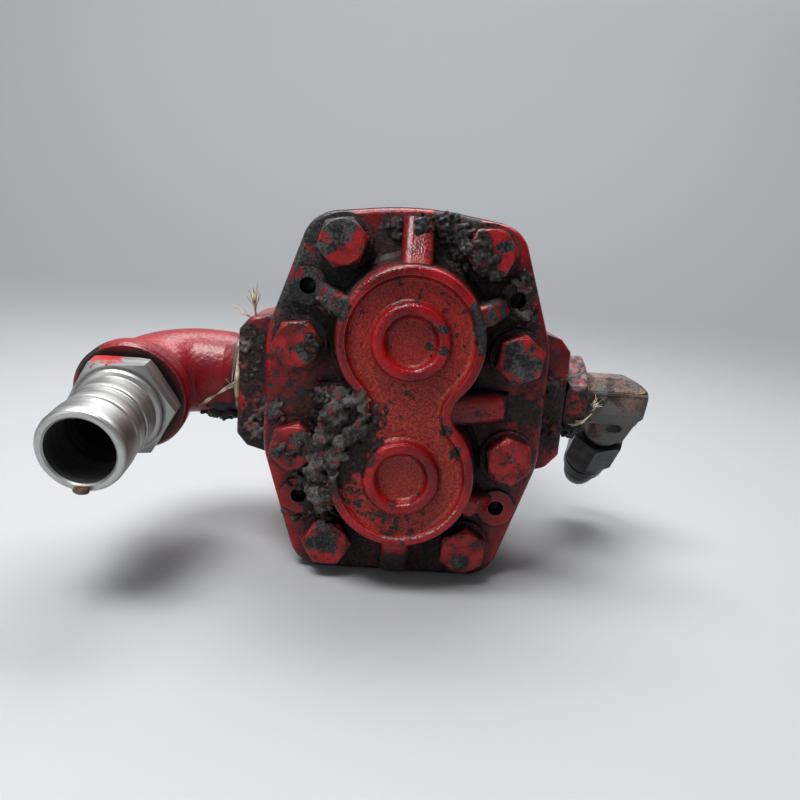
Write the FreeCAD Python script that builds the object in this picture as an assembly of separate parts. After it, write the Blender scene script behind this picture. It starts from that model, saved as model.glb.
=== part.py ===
"""Cast-iron tipper gear pump, 100 cc/rev, with its suction bend and its pressure elbow.

Row frame, in millimetres: the origin is the centre of the mounting face on the drive shaft's axis,
+Y points out of the pump along the shaft, +X to the pressure side and +Z up. The driven gear lies
below the drive gear. The rear cover, with its figure-of-eight boss, looks along -Y.
Each piece is written to parts/NODE.step.
"""

import math
import os

import FreeCAD
import Part

Vector = FreeCAD.Vector

# ---------------------------------------------------------------- driving dimensions
GEAR_CENTRES = 66.0        # between the two gear axes
TEETH = 11
MODULE = GEAR_CENTRES / TEETH
GEAR_WIDTH = 40.0
PLATE_THICKNESS = 7.9      # thrust plates, each side of the gears
END_FLOAT = 0.1            # between a gear's side and its thrust plate

FRONT_LENGTH = 62.0        # front cover, mounting face to joint
HOUSING_LENGTH = GEAR_WIDTH + 2 * (PLATE_THICKNESS + END_FLOAT)
REAR_FLANGE = 12.0         # rear cover's plate, without its pads
PAD_HEIGHT = 3.0           # bolt and dowel pads stand this proud of the plate
BOSS_HEIGHT = 26.0         # rear rings above the bolt pads

BODY_HALF_WIDTH = 71.5
CROWN = 95.5               # crown of the outline above the middle, before it is rounded
CORNER_BOLT = (35.3, 76.0)     # bolt places about the middle of the body, +-x and +-z
MIDDLE_BOLT = (54.5, 26.0)
DOWEL_PLACE = (51.5, 54.0)

JOURNAL_RADIUS = 18.97
BUSH_BORE = 19.03
BUSH_RADIUS = 24.0
BUSH_LENGTH = 27.0
PORT_OFFSET = 88.0         # the suction port's face from the middle plane
PRESSURE_OFFSET = 85.5     # the pressure port's face

# ---------------------------------------------------------------- places that follow from them
MIDDLE_Z = -GEAR_CENTRES / 2           # halfway between the gears
DRIVEN_Z = -GEAR_CENTRES
FRONT_JOINT = -FRONT_LENGTH
REAR_JOINT = FRONT_JOINT - HOUSING_LENGTH
PORT_Y = (FRONT_JOINT + REAR_JOINT) / 2
GEAR_FRONT = FRONT_JOINT - PLATE_THICKNESS - END_FLOAT
GEAR_REAR = GEAR_FRONT - GEAR_WIDTH
PLATE_FACE = REAR_JOINT - REAR_FLANGE  # rear cover's plate
PAD_FACE = PLATE_FACE - PAD_HEIGHT     # where the bolt heads seat
RING_TOP = PAD_FACE - BOSS_HEIGHT      # rearmost face of the castings

TIP_RADIUS = MODULE * (TEETH / 2 + 0.95)
ROOT_RADIUS = MODULE * (TEETH / 2 - 1.2)
PRESSURE_ANGLE = math.radians(25)
BACKLASH = 0.24
CHAMBER_RADIUS = TIP_RADIUS + 0.3

ALONG_Y = Vector(0, 1, 0)
ALONG_X = Vector(1, 0, 0)


# ---------------------------------------------------------------- drawing helpers
def bar_y(radius, start, end, x=0.0, z=0.0):
    """A round bar or hole along Y."""
    return Part.makeCylinder(radius, end - start, Vector(x, start, z), ALONG_Y)


def bar_x(radius, start, end, y=PORT_Y, z=MIDDLE_Z):
    """A round bar or hole along X, on the port axis unless told otherwise."""
    return Part.makeCylinder(radius, end - start, Vector(start, y, z), ALONG_X)


def rounded_wire(corners, y):
    """A closed outline in the plane of that y. corners holds (x, z, radius), in order round it."""
    count = len(corners)
    starts, middles, ends = [], [], []
    for i, (x, z, radius) in enumerate(corners):
        here = Vector(x, y, z)
        before = Vector(corners[i - 1][0], y, corners[i - 1][1]) - here
        after = Vector(corners[(i + 1) % count][0], y, corners[(i + 1) % count][1]) - here
        before.normalize()
        after.normalize()
        half = before.getAngle(after) / 2
        reach = radius / math.tan(half)
        inward = (before + after).normalize()
        starts.append(here + before * reach)
        ends.append(here + after * reach)
        middles.append(here + inward * (radius / math.sin(half) - radius))
    edges = []
    for i in range(count):
        if corners[i][2] > 0:
            edges.append(Part.Arc(starts[i], middles[i], ends[i]).toShape())
        following = (i + 1) % count
        if ends[i].distanceToPoint(starts[following]) > 1e-6:
            edges.append(Part.LineSegment(ends[i], starts[following]).toShape())
    return Part.Wire(edges)


def lobe_wire(radius, waist_radius, y):
    """A figure of eight round both gear axes, its waist rounded."""
    half = GEAR_CENTRES / 2
    waist_x = math.sqrt((radius + waist_radius) ** 2 - half ** 2)
    share = radius / (radius + waist_radius)
    touch_x, touch_z = waist_x * share, half * (1 - share)
    mid = MIDDLE_Z

    def at(x, z):
        return Vector(x, y, mid + z)

    inner = waist_x - waist_radius
    edges = [
        Part.Arc(at(touch_x, touch_z), at(0, half + radius), at(-touch_x, touch_z)),
        Part.Arc(at(-touch_x, touch_z), at(-inner, 0), at(-touch_x, -touch_z)),
        Part.Arc(at(-touch_x, -touch_z), at(0, -half - radius), at(touch_x, -touch_z)),
        Part.Arc(at(touch_x, -touch_z), at(inner, 0), at(touch_x, touch_z)),
    ]
    return Part.Wire([edge.toShape() for edge in edges])


def prism(wire, start, end):
    """The wire's face, pushed along Y. The wire lies in the plane of start."""
    return Part.Face(wire).extrude(ALONG_Y * (end - start))


def polygon_prism(points, direction):
    """A flat polygon of vectors, pushed by a vector."""
    return Part.Face(Part.makePolygon(points + points[:1])).extrude(direction)


def revolve_y(profile, x=0.0, z=0.0):
    """Turns a profile of (y, radius) points about an axis along Y."""
    points = [Vector(x + radius, y, z) for y, radius in profile]
    face = Part.Face(Part.makePolygon(points + points[:1]))
    return face.revolve(Vector(x, 0, z), ALONG_Y, 360)


def hex_bar_y(flats, start, end, x=0.0, z=0.0, turn=0.0):
    """A hexagonal bar along Y."""
    corner = flats / math.sqrt(3)
    points = []
    for i in range(6):
        angle = math.radians(turn + 60 * i)
        points.append(Vector(x + corner * math.cos(angle), start, z + corner * math.sin(angle)))
    return polygon_prism(points, ALONG_Y * (end - start))


def about_port(shape, degrees):
    """Turns a shape about the port axis."""
    turned = shape.copy()
    turned.rotate(Vector(0, PORT_Y, MIDDLE_Z), ALONG_X, degrees)
    return turned


def four_ways(place):
    """The four places that mirror (x, z) about the middle of the body, in row coordinates."""
    x, z = place
    return [(sx * x, MIDDLE_Z + sz * z) for sx in (-1, 1) for sz in (-1, 1)]


def fillet_where(shape, radius, wanted):
    """Rounds the edges that wanted() picks, as many at once as the kernel can do."""
    edges = [edge for edge in shape.Edges if wanted(edge)]
    return shape.makeFillet(radius, edges)


BOLT_PLACES = four_ways(CORNER_BOLT) + four_ways(MIDDLE_BOLT)
DOWEL_PLACES = four_ways(DOWEL_PLACE)


# ---------------------------------------------------------------- body outline
def body_wire(y, crown, foot):
    """The castings' outline: crowned on top, sloping flanks, and a flat foot."""
    shoulder = crown - 7.0
    side = BODY_HALF_WIDTH
    upper = [(0, crown, 160), (51.5, shoulder, 17), (side, 30, 45)]
    lower = [(side, -30, 45), (51.5, -foot, 17)]
    right = upper + lower
    left = [(-x, z, r) for x, z, r in reversed(right[1:])]
    return rounded_wire([(x, MIDDLE_Z + z, r) for x, z, r in right + left], y)


def seal_groove(y_start, y_end, slack):
    """The racetrack groove round both gear chambers for a square-section body seal."""
    wide = 45.3 + slack
    narrow = 42.3 - slack

    def track(radius):
        corners = [(radius, MIDDLE_Z + sz * (GEAR_CENTRES / 2 + radius), radius * 0.999)
                   for sz in (1, -1)]
        corners += [(-radius, MIDDLE_Z + sz * (GEAR_CENTRES / 2 + radius), radius * 0.999)
                    for sz in (-1, 1)]
        return prism(rounded_wire(corners, y_start), y_start, y_end)

    return track(wide).cut(track(narrow))


# ---------------------------------------------------------------- rear cover
RIM_TOP = RING_TOP + 2.0
BOSS_FLOOR = RING_TOP + 5.6
RIM_RADIUS = 35.0
RIM_WIDTH = 5.2
WAIST = 12.0
RING_RADIUS = 18.4
DISH_RADIUS = 12.4
DISH_DEPTH = 5.0
EDGE_ROUND = 2.2           # cast roundness of a ring's two edges


def is_crest(edge):
    """True for the edges that run along a web's crest."""
    first, last = edge.Vertexes[0], edge.Vertexes[-1]
    return abs(first.X - last.X) < 1e-3 and max(first.Y, last.Y) < PLATE_FACE


def web(width, profile, turn=0.0, about=(0.0, 0.0)):
    """A cast web standing on the plate. profile holds (distance outwards, y) along its crest."""
    points = [Vector(-width / 2, y, distance) for distance, y in profile]
    shape = polygon_prism(points, ALONG_X * width)
    shape = fillet_where(shape, width * 0.3, is_crest)
    shape.rotate(Vector(0, 0, 0), ALONG_Y, turn)
    shape.translate(Vector(about[0], 0, about[1]))
    return shape


def quarter_round(centre, start_angle, end_angle, radius):
    """Points (y, radius) round a cast edge. Angle 0 looks outwards and 90 looks rearwards."""
    points = []
    for i in range(5):
        angle = math.radians(start_angle + (end_angle - start_angle) * i / 4)
        points.append((centre[0] - radius * math.sin(angle), centre[1] + radius * math.cos(angle)))
    return points


def dish_profile():
    """The hollow in a ring: a rounded lip, a sloping wall and a flat floor."""
    lip = quarter_round((RING_TOP + EDGE_ROUND, DISH_RADIUS + EDGE_ROUND), 90, 165, EDGE_ROUND)
    wall = [(RING_TOP + DISH_DEPTH - 1.2, DISH_RADIUS - 0.9),
            (RING_TOP + DISH_DEPTH - 0.3, DISH_RADIUS - 1.7),
            (RING_TOP + DISH_DEPTH, DISH_RADIUS - 3.2), (RING_TOP + DISH_DEPTH, 0)]
    return lip + wall


def rear_cover():
    plate = prism(body_wire(PLATE_FACE, CROWN, CROWN - 1.0), PLATE_FACE, REAR_JOINT)
    plate = fillet_where(plate, 3.0, lambda e: all(abs(v.Y - PLATE_FACE) < 1e-3 for v in e.Vertexes))
    pads = [bar_y(14.0, PAD_FACE, PLATE_FACE + 2, x, z) for x, z in BOLT_PLACES]
    pads += [bar_y(9.5, PAD_FACE + 0.5, PLATE_FACE + 2, x, z) for x, z in DOWEL_PLACES]

    boss = Part.makeLoft(
        [lobe_wire(RIM_RADIUS + 3.0, WAIST - 2.0, PLATE_FACE + 1), lobe_wire(RIM_RADIUS, WAIST, RIM_TOP)],
        True, True)
    boss = fillet_where(boss, 2.2, lambda e: all(abs(v.Y - RIM_TOP) < 1e-3 for v in e.Vertexes))
    flare = Part.makeLoft(
        [lobe_wire(RIM_RADIUS + 7.4, WAIST - 5.0, PLATE_FACE + 1),
         lobe_wire(RIM_RADIUS + 4.0, WAIST - 3.0, PLATE_FACE - 2.4),
         lobe_wire(RIM_RADIUS + 2.3, WAIST - 1.6, PLATE_FACE - 7.0)],
        True, True)

    end_crest = [(24, RIM_TOP + 4), (36, RIM_TOP + 4), (57, PAD_FACE - 6), (57, PLATE_FACE + 1),
                 (24, PLATE_FACE + 1)]
    left_crest = [(12, RIM_TOP + 7), (22, RIM_TOP + 7), (41, PAD_FACE - 4), (46, PLATE_FACE + 1),
                  (12, PLATE_FACE + 1)]
    right_crest = [(12, RIM_TOP + 7), (22, RIM_TOP + 7), (44, PAD_FACE - 6), (50, PAD_FACE - 2),
                   (53, PLATE_FACE + 1), (12, PLATE_FACE + 1)]
    ear_crest = [(24, RIM_TOP + 5), (41, RIM_TOP + 6), (51, PAD_FACE - 1), (51, PLATE_FACE + 1),
                 (24, PLATE_FACE + 1)]
    ear_angle = math.degrees(math.atan2(DOWEL_PLACE[0], DOWEL_PLACE[1] - GEAR_CENTRES / 2))
    webs = [web(15.0, end_crest), web(15.0, end_crest, 180, (0, DRIVEN_Z))]
    webs.append(web(15.0, left_crest, -90, (0, MIDDLE_Z)))
    webs.append(web(16.5, right_crest, 90, (0, MIDDLE_Z)))
    webs += [web(11.0, ear_crest, sx * ear_angle) for sx in (1, -1)]
    webs += [web(11.0, ear_crest, 180 - sx * ear_angle, (0, DRIVEN_Z)) for sx in (1, -1)]

    cover = plate.multiFuse(pads + webs + [boss, flare]).removeSplitter()
    outside = prism(body_wire(PLATE_FACE - 40, CROWN - 1.5, CROWN - 2.5), PLATE_FACE - 40, PLATE_FACE)
    inside = prism(body_wire(PLATE_FACE, CROWN, CROWN - 1.0), PLATE_FACE, REAR_JOINT)
    cover = cover.common(outside.fuse(inside))

    hollow = Part.makeLoft(
        [lobe_wire(RIM_RADIUS - RIM_WIDTH + 1.6, WAIST + RIM_WIDTH - 1.6, RIM_TOP - 1),
         lobe_wire(RIM_RADIUS - RIM_WIDTH - 0.4, WAIST + RIM_WIDTH + 0.4, BOSS_FLOOR - 0.8),
         lobe_wire(RIM_RADIUS - RIM_WIDTH - 1.8, WAIST + RIM_WIDTH + 1.8, BOSS_FLOOR)],
        True, True)
    cover = cover.cut(hollow)
    for z in (0, DRIVEN_Z):
        ring = [(BOSS_FLOOR + 1, 0), (BOSS_FLOOR + 1, RING_RADIUS + 1.8), (BOSS_FLOOR, RING_RADIUS + 1.6),
                (BOSS_FLOOR - 0.7, RING_RADIUS + 0.7), (BOSS_FLOOR - 1.8, RING_RADIUS + 0.2)]
        ring += quarter_round((RING_TOP + EDGE_ROUND, RING_RADIUS - EDGE_ROUND), 0, 90, EDGE_ROUND)
        cover = cover.fuse(revolve_y(ring + dish_profile(), 0, z))
        cover = cover.cut(revolve_y([(RING_TOP - 1, 0),
                                     (RING_TOP - 1, DISH_RADIUS + EDGE_ROUND)] + dish_profile(), 0, z))
        cover = cover.cut(bar_y(BUSH_RADIUS, REAR_JOINT - BUSH_LENGTH - 2.0, REAR_JOINT + 1, 0, z))
    holes = [bar_y(7.5, RING_TOP, REAR_JOINT + 1, x, z) for x, z in BOLT_PLACES]
    holes += [bar_y(4.0, RING_TOP, REAR_JOINT + 1, x, z) for x, z in DOWEL_PLACES]
    spotfaces = [bar_y(13.2, PAD_FACE - 40, PAD_FACE, x, z) for x, z in BOLT_PLACES]
    cover = cover.cut(Part.makeCompound(holes))
    cover = cover.cut(Part.makeCompound(spotfaces))
    return cover.cut(seal_groove(REAR_JOINT - 2.4, REAR_JOINT + 1, 0.1))


# ---------------------------------------------------------------- gear housing
def port_pad(side, face):
    """The pad that a port's thread is cut in, chamfered towards its face."""
    profile = [(58, 37.2), (face - 14.0, 36.8), (face - 5.5, 34.4), (face, 28)]
    points = [Vector(side * x, PORT_Y, MIDDLE_Z + z) for x, z in profile]
    points += [Vector(side * x, PORT_Y, MIDDLE_Z - z) for x, z in reversed(profile)]
    half = HOUSING_LENGTH / 2 - 2.0
    pad = polygon_prism([p - ALONG_Y * half for p in points], ALONG_Y * (2 * half))
    face_edge = [e for e in pad.Edges if all(abs(abs(v.X) - face) < 1e-3 for v in e.Vertexes)]
    slope_edge = [e for e in pad.Edges
                  if abs(e.Vertexes[0].X - e.Vertexes[1].X) > 5 and abs(e.CenterOfMass.x) > 76]
    return pad.makeFillet(3.0, face_edge + slope_edge)


def gear_housing():
    body = prism(body_wire(REAR_JOINT, CROWN + 0.8, CROWN), REAR_JOINT, FRONT_JOINT)
    body = body.fuse([port_pad(-1, PORT_OFFSET), port_pad(1, PRESSURE_OFFSET)]).removeSplitter()
    chamber = prism(lobe_wire(CHAMBER_RADIUS, 1.0, REAR_JOINT - 1), REAR_JOINT - 1, FRONT_JOINT + 1)
    body = body.cut(chamber)
    suction = bar_x(16.0, -PORT_OFFSET - 1, -10).fuse(bar_x(20.95, -PORT_OFFSET - 1, -PORT_OFFSET + 20))
    face = PRESSURE_OFFSET
    pressure = bar_x(13.0, 10, face + 1).fuse(bar_x(16.6, face - 19, face + 1))
    spotfaces = [bar_x(26.0, -PORT_OFFSET - 1, -PORT_OFFSET + 0.8), bar_x(24.5, face - 0.8, face + 1)]
    body = body.cut([suction, pressure] + spotfaces)
    holes = [bar_y(7.5, REAR_JOINT - 1, FRONT_JOINT + 1, x, z) for x, z in BOLT_PLACES]
    for x, z in DOWEL_PLACES:
        holes.append(bar_y(4.0, REAR_JOINT - 1, REAR_JOINT + 12, x, z))
        holes.append(bar_y(4.0, FRONT_JOINT - 12, FRONT_JOINT + 1, x, z))
    return body.cut(holes)


# ---------------------------------------------------------------- front cover
BODY_PLATE_FRONT = -32.0
MOUNT_PLATE = 14.0
MOUNT_HALF = 53.0
MOUNT_HOLE = 40.0          # the four studs stand on an 80 mm square
MOUNT_HOLE_RADIUS = 6.75
PILOT_RADIUS = 40.0
PILOT_HEIGHT = 8.0
SEAL_RADIUS = 28.0
SEAL_FLOOR = -22.0
CIRCLIP_REAR = -3.0


def front_cover():
    body = prism(body_wire(FRONT_JOINT, CROWN, CROWN), FRONT_JOINT, BODY_PLATE_FRONT)
    body = fillet_where(body, 3.0, lambda e: all(abs(v.Y - BODY_PLATE_FRONT) < 1e-3 for v in e.Vertexes))
    corners = [(sx * MOUNT_HALF, sz * MOUNT_HALF, 14) for sx, sz in ((1, 1), (1, -1), (-1, -1), (-1, 1))]
    mount = prism(rounded_wire(corners, -MOUNT_PLATE), -MOUNT_PLATE, 0)
    neck = revolve_y([(BODY_PLATE_FRONT - 1, 0), (BODY_PLATE_FRONT - 1, 45), (BODY_PLATE_FRONT + 3, 42),
                      (-MOUNT_PLATE - 3, 42), (-MOUNT_PLATE + 1, 45), (-MOUNT_PLATE + 1, 0)])
    driven_boss = revolve_y([(BODY_PLATE_FRONT - 1, 0), (BODY_PLATE_FRONT - 1, 33),
                             (BODY_PLATE_FRONT + 6, 31),
                             (BODY_PLATE_FRONT + 8, 29), (BODY_PLATE_FRONT + 8, 0)], 0, DRIVEN_Z)
    lower_web = polygon_prism(
        [Vector(-8, BODY_PLATE_FRONT - 1, -30), Vector(-8, BODY_PLATE_FRONT - 1, DRIVEN_Z - 26),
         Vector(-8, BODY_PLATE_FRONT + 8, DRIVEN_Z - 22), Vector(-8, -MOUNT_PLATE + 1, -50),
         Vector(-8, -MOUNT_PLATE + 1, -30)], ALONG_X * 16)
    pilot = revolve_y([(-1, 0), (-1, PILOT_RADIUS), (PILOT_HEIGHT - 1, PILOT_RADIUS),
                       (PILOT_HEIGHT, PILOT_RADIUS - 1), (PILOT_HEIGHT, 0)])
    cover = body.fuse([mount, neck, driven_boss, lower_web, pilot]).removeSplitter()
    cuts = [
        bar_y(BUSH_RADIUS, FRONT_JOINT - 1, FRONT_JOINT + BUSH_LENGTH + 1.0),
        bar_y(BUSH_RADIUS, FRONT_JOINT - 1, FRONT_JOINT + BUSH_LENGTH + 1.0, 0, DRIVEN_Z),
        bar_y(20.5, FRONT_JOINT, 0),
        bar_y(SEAL_RADIUS, SEAL_FLOOR, PILOT_HEIGHT + 1),
        bar_y(SEAL_RADIUS + 1.6, CIRCLIP_REAR, CIRCLIP_REAR + 2.1),
        seal_groove(FRONT_JOINT - 1, FRONT_JOINT + 2.4, 0.1),
    ]
    cuts += [bar_y(7.0, FRONT_JOINT - 1, -37, x, z) for x, z in BOLT_PLACES]
    cuts += [bar_y(4.0, FRONT_JOINT - 1, FRONT_JOINT + 12, x, z) for x, z in DOWEL_PLACES]
    cuts += [bar_y(MOUNT_HOLE_RADIUS, -MOUNT_PLATE - 1, 1, sx * MOUNT_HOLE, sz * MOUNT_HOLE)
             for sx in (-1, 1) for sz in (-1, 1)]
    return cover.cut(cuts)


# ---------------------------------------------------------------- gears and shafts
def tooth_flank(sign):
    """One involute flank, as points (radius, angle) from its foot to the tip, about a tooth at angle 0."""
    base = MODULE * TEETH / 2 * math.cos(PRESSURE_ANGLE)
    pitch = MODULE * TEETH / 2
    inv_pitch = math.tan(PRESSURE_ANGLE) - PRESSURE_ANGLE
    half_tooth = math.pi / (2 * TEETH) - BACKLASH / 4 / pitch
    points = []
    steps = 6
    first = base * 1.002
    for i in range(steps + 1):
        radius = first + (TIP_RADIUS - first) * i / steps
        pressure = math.acos(base / radius)
        involute = math.tan(pressure) - pressure
        points.append((radius, sign * (half_tooth + inv_pitch - involute)))
    return points


def gear_wire(y, z):
    """The whole toothed outline, with one tooth pointing down."""
    def at(radius, angle):
        return Vector(radius * math.sin(angle), y, z - radius * math.cos(angle))

    edges = []
    step = 2 * math.pi / TEETH
    for i in range(TEETH):
        centre = i * step
        rising = [at(r, centre + a) for r, a in tooth_flank(-1)]
        falling = [at(r, centre + a) for r, a in reversed(tooth_flank(1))]
        next_foot = at(tooth_flank(-1)[0][0], centre + step + tooth_flank(-1)[0][1])
        left, right = Part.BSplineCurve(), Part.BSplineCurve()
        left.interpolate(rising)
        right.interpolate(falling)
        edges.append(left.toShape())
        edges.append(Part.Arc(rising[-1], at(TIP_RADIUS, centre), falling[0]).toShape())
        edges.append(right.toShape())
        root_in = at(ROOT_RADIUS, centre + tooth_flank(1)[0][1] + 0.035)
        root_out = at(ROOT_RADIUS, centre + step + tooth_flank(-1)[0][1] - 0.035)
        edges.append(Part.LineSegment(falling[-1], root_in).toShape())
        edges.append(Part.Arc(root_in, at(ROOT_RADIUS, centre + step / 2), root_out).toShape())
        edges.append(Part.LineSegment(root_out, next_foot).toShape())
    return Part.Wire(edges)


def toothed_blank(z):
    return prism(gear_wire(GEAR_REAR, z), GEAR_REAR, GEAR_FRONT)


SHAFT_REAR = REAR_JOINT - BUSH_LENGTH - 0.5
SPLINE_START = 6.0
SPLINE_END = 55.0
SPLINE_MAJOR = 18.0
SPLINE_MINOR = 16.0
SPLINE_COUNT = 8
SPLINE_WIDTH = 6.0


def drive_gear_shaft():
    """The drive gear, its journals and its splined end, all in one piece."""
    shaft = revolve_y([(SHAFT_REAR, 0), (SHAFT_REAR, JOURNAL_RADIUS - 1.5),
                       (SHAFT_REAR + 1.5, JOURNAL_RADIUS),
                       (4.0, JOURNAL_RADIUS), (5.0, SPLINE_MAJOR), (SPLINE_END - 1.5, SPLINE_MAJOR),
                       (SPLINE_END, SPLINE_MAJOR - 1.5), (SPLINE_END, 0)])
    cutter_depth = 6.0
    slot = 2 * math.pi * SPLINE_MINOR / SPLINE_COUNT - SPLINE_WIDTH
    for i in range(SPLINE_COUNT):
        edge = [Vector(-slot / 2, SPLINE_START, SPLINE_MINOR),
                Vector(slot / 2, SPLINE_START, SPLINE_MINOR),
                Vector(slot / 2 + 1.1, SPLINE_START, SPLINE_MINOR + cutter_depth),
                Vector(-slot / 2 - 1.1, SPLINE_START, SPLINE_MINOR + cutter_depth)]
        cutter = polygon_prism(edge, ALONG_Y * (SPLINE_END - SPLINE_START + 1))
        cutter.rotate(Vector(0, 0, 0), ALONG_Y, 360 / SPLINE_COUNT * (i + 0.5))
        shaft = shaft.cut(cutter)
    centre_drill = revolve_y([(SPLINE_END - 8, 0), (SPLINE_END - 3, 2.5), (SPLINE_END + 0.01, 5.5),
                              (SPLINE_END + 0.01, 0)])
    return shaft.fuse(toothed_blank(0)).cut(centre_drill)


def driven_gear_shaft():
    front = FRONT_JOINT + BUSH_LENGTH - 0.5
    shaft = revolve_y([(SHAFT_REAR, 0), (SHAFT_REAR, JOURNAL_RADIUS - 1.5),
                       (SHAFT_REAR + 1.5, JOURNAL_RADIUS),
                       (front - 1.5, JOURNAL_RADIUS), (front, JOURNAL_RADIUS - 1.5), (front, 0)], 0,
                       DRIVEN_Z)
    return shaft.fuse(toothed_blank(DRIVEN_Z))


def bush(start, z):
    """A plain bearing bush with chamfered ends and an oil slot along its bore."""
    end = start + BUSH_LENGTH
    shell = revolve_y([(start, BUSH_BORE), (start, BUSH_RADIUS - 1), (start + 1, BUSH_RADIUS),
                       (end - 1, BUSH_RADIUS),
                       (end, BUSH_RADIUS - 1), (end, BUSH_BORE)], 0, z)
    slot = Part.makeBox(3.0, BUSH_LENGTH + 2, 2.0, Vector(-1.5, start - 1, z + BUSH_BORE - 0.6))
    return shell.cut(slot)


# ---------------------------------------------------------------- thrust plates and seals
def thrust_plate(start, gear_side):
    """A pressure-balanced plate. gear_side is the y of the face that the gears run on."""
    plate = prism(lobe_wire(CHAMBER_RADIUS - 0.05, 1.2, start), start, start + PLATE_THICKNESS)
    plate = plate.cut([bar_y(19.4, start - 1, start + PLATE_THICKNESS + 1, 0, z) for z in (0, DRIVEN_Z)])
    outward = -1 if gear_side > start + 1 else 1
    seal_start = start if outward < 0 else start + PLATE_THICKNESS - 2.1
    plate = plate.cut(plate_seal(seal_start, 2.1, 0.1))
    relief_start = gear_side - 1.6 if outward < 0 else gear_side - 0.1
    reliefs = [Part.makeBox(7.0, 1.7, 9.0, Vector(x - 3.5, relief_start, MIDDLE_Z - 4.5)) for x in (-7.5,
                                                                                                    7.5)]
    return plate.cut(reliefs)


def plate_seal(start, height, slack):
    """The figure-of-eight seal behind a thrust plate, or with slack its groove."""
    outer = prism(lobe_wire(31.5 + slack, 6.0, start), start, start + height)
    return outer.cut(prism(lobe_wire(28.5 - slack, 9.0, start), start, start + height))


def shaft_seal(start):
    """A radial lip seal: metal can, rubber face and a lip that just meets the shaft."""
    end = start + 8.0
    return revolve_y([(start, 21.5), (start, SEAL_RADIUS - 0.02), (end, SEAL_RADIUS - 0.02), (end, 20.8),
                      (end - 2.0, 20.4), (start + 3.2, JOURNAL_RADIUS + 0.06),
                      (start + 2.2, JOURNAL_RADIUS + 0.06),
                      (start + 1.0, 20.0), (start + 5.0, 22.6), (start + 5.4, 25.0), (start + 0.8, 25.6),
                      (start + 0.8, 21.5)])


def seal_spacer(start):
    return revolve_y([(start, 22.5), (start, SEAL_RADIUS - 0.05), (start + 3.0, SEAL_RADIUS - 0.05),
                      (start + 3.0, 22.5)])


def seal_circlip(start):
    """An internal circlip, with its gap at the bottom and a plier hole in each ear."""
    ring = revolve_y([(start, 25.2), (start, SEAL_RADIUS + 1.5), (start + 2.0, SEAL_RADIUS + 1.5),
                      (start + 2.0, 25.2)])
    ears = [bar_y(3.6, start, start + 2.0, x, -24.0) for x in (-5.2, 5.2)]
    gap = Part.makeBox(3.4, 4.0, 14.0, Vector(-1.7, start - 1, -34.0))
    holes = [bar_y(1.4, start - 1, start + 3.0, x, -24.0) for x in (-5.2, 5.2)]
    return ring.fuse(ears).cut([gap] + holes)


# ---------------------------------------------------------------- fasteners
BOLT_FLATS = 22.0
BOLT_HEAD = 8.8
BOLT_LENGTH = 90.0


def hex_bolt(x, z, turn):
    """A hexagon-head bolt with a chamfered crown and a washer face."""
    head = hex_bar_y(BOLT_FLATS, PAD_FACE - BOLT_HEAD, PAD_FACE, x, z, turn)
    top = PAD_FACE - BOLT_HEAD
    crown = revolve_y([(top, 0), (top, BOLT_FLATS * 0.47), (top + 1.9, BOLT_FLATS * 0.59),
                       (PAD_FACE - 0.6, BOLT_FLATS * 0.59),
                       (PAD_FACE, BOLT_FLATS * 0.48), (PAD_FACE, 0)], x, z)
    tip = PAD_FACE + BOLT_LENGTH
    shank = revolve_y([(PAD_FACE - 1, 0), (PAD_FACE - 1, 6.9), (tip - 1.5, 6.9), (tip, 5.6), (tip, 0)], x,
                      z)
    return head.common(crown).fuse(shank)


def cover_bolts():
    turns = [0, 12, 27, 5, 18, 8, 40, 22]
    return Part.makeCompound([hex_bolt(x, z, turn) for (x, z), turn in zip(BOLT_PLACES, turns)])


def dowel_pins(joint):
    return Part.makeCompound([
        revolve_y([(joint - 9, 0), (joint - 9, 3.4), (joint - 8.4, 3.98), (joint + 8.4, 3.98),
                   (joint + 9, 3.4),
                   (joint + 9, 0)], x, z)
        for x, z in DOWEL_PLACES])


# ---------------------------------------------------------------- suction side
BEND_REACH = 49.2          # suction port face to the hose tail's axis
BEND_X = -PORT_OFFSET - BEND_REACH
BEND_RADIUS = 27.0
BEND_TILT = 10.1           # the mouth dips below the horizontal
BAND_FACE = 45.3           # from the bend's corner
TAIL_END = 104.7
TAIL_RADIUS = 19.8
TAIL_BORE = 15.5


def tail_y(distance):
    """A place on the hose tail's axis, before the whole bend is tilted."""
    return PORT_Y - distance


def bend_of(radius):
    """A quarter bend of round pipe, from the port axis round to the hose tail's axis."""
    start = Vector(BEND_X + BEND_RADIUS, PORT_Y, MIDDLE_Z)
    circle = Part.Wire(Part.makeCircle(radius, start, ALONG_X))
    face = Part.Face(circle)
    pivot = Vector(BEND_X + BEND_RADIUS, PORT_Y - BEND_RADIUS, MIDDLE_Z)
    return face.revolve(pivot, Vector(0, 0, 1), 90)


def bend_turn(profile):
    """Turns a profile of (distance, radius) points about the hose tail's axis."""
    return revolve_y([(tail_y(distance), radius) for distance, radius in profile], BEND_X, MIDDLE_Z)


def port_turn(profile):
    """Turns a profile of (x, radius) points about the port axis."""
    points = [Vector(x, PORT_Y, MIDDLE_Z + radius) for x, radius in profile]
    face = Part.Face(Part.makePolygon(points + points[:1]))
    return face.revolve(Vector(0, PORT_Y, MIDDLE_Z), ALONG_X, 360)


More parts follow.
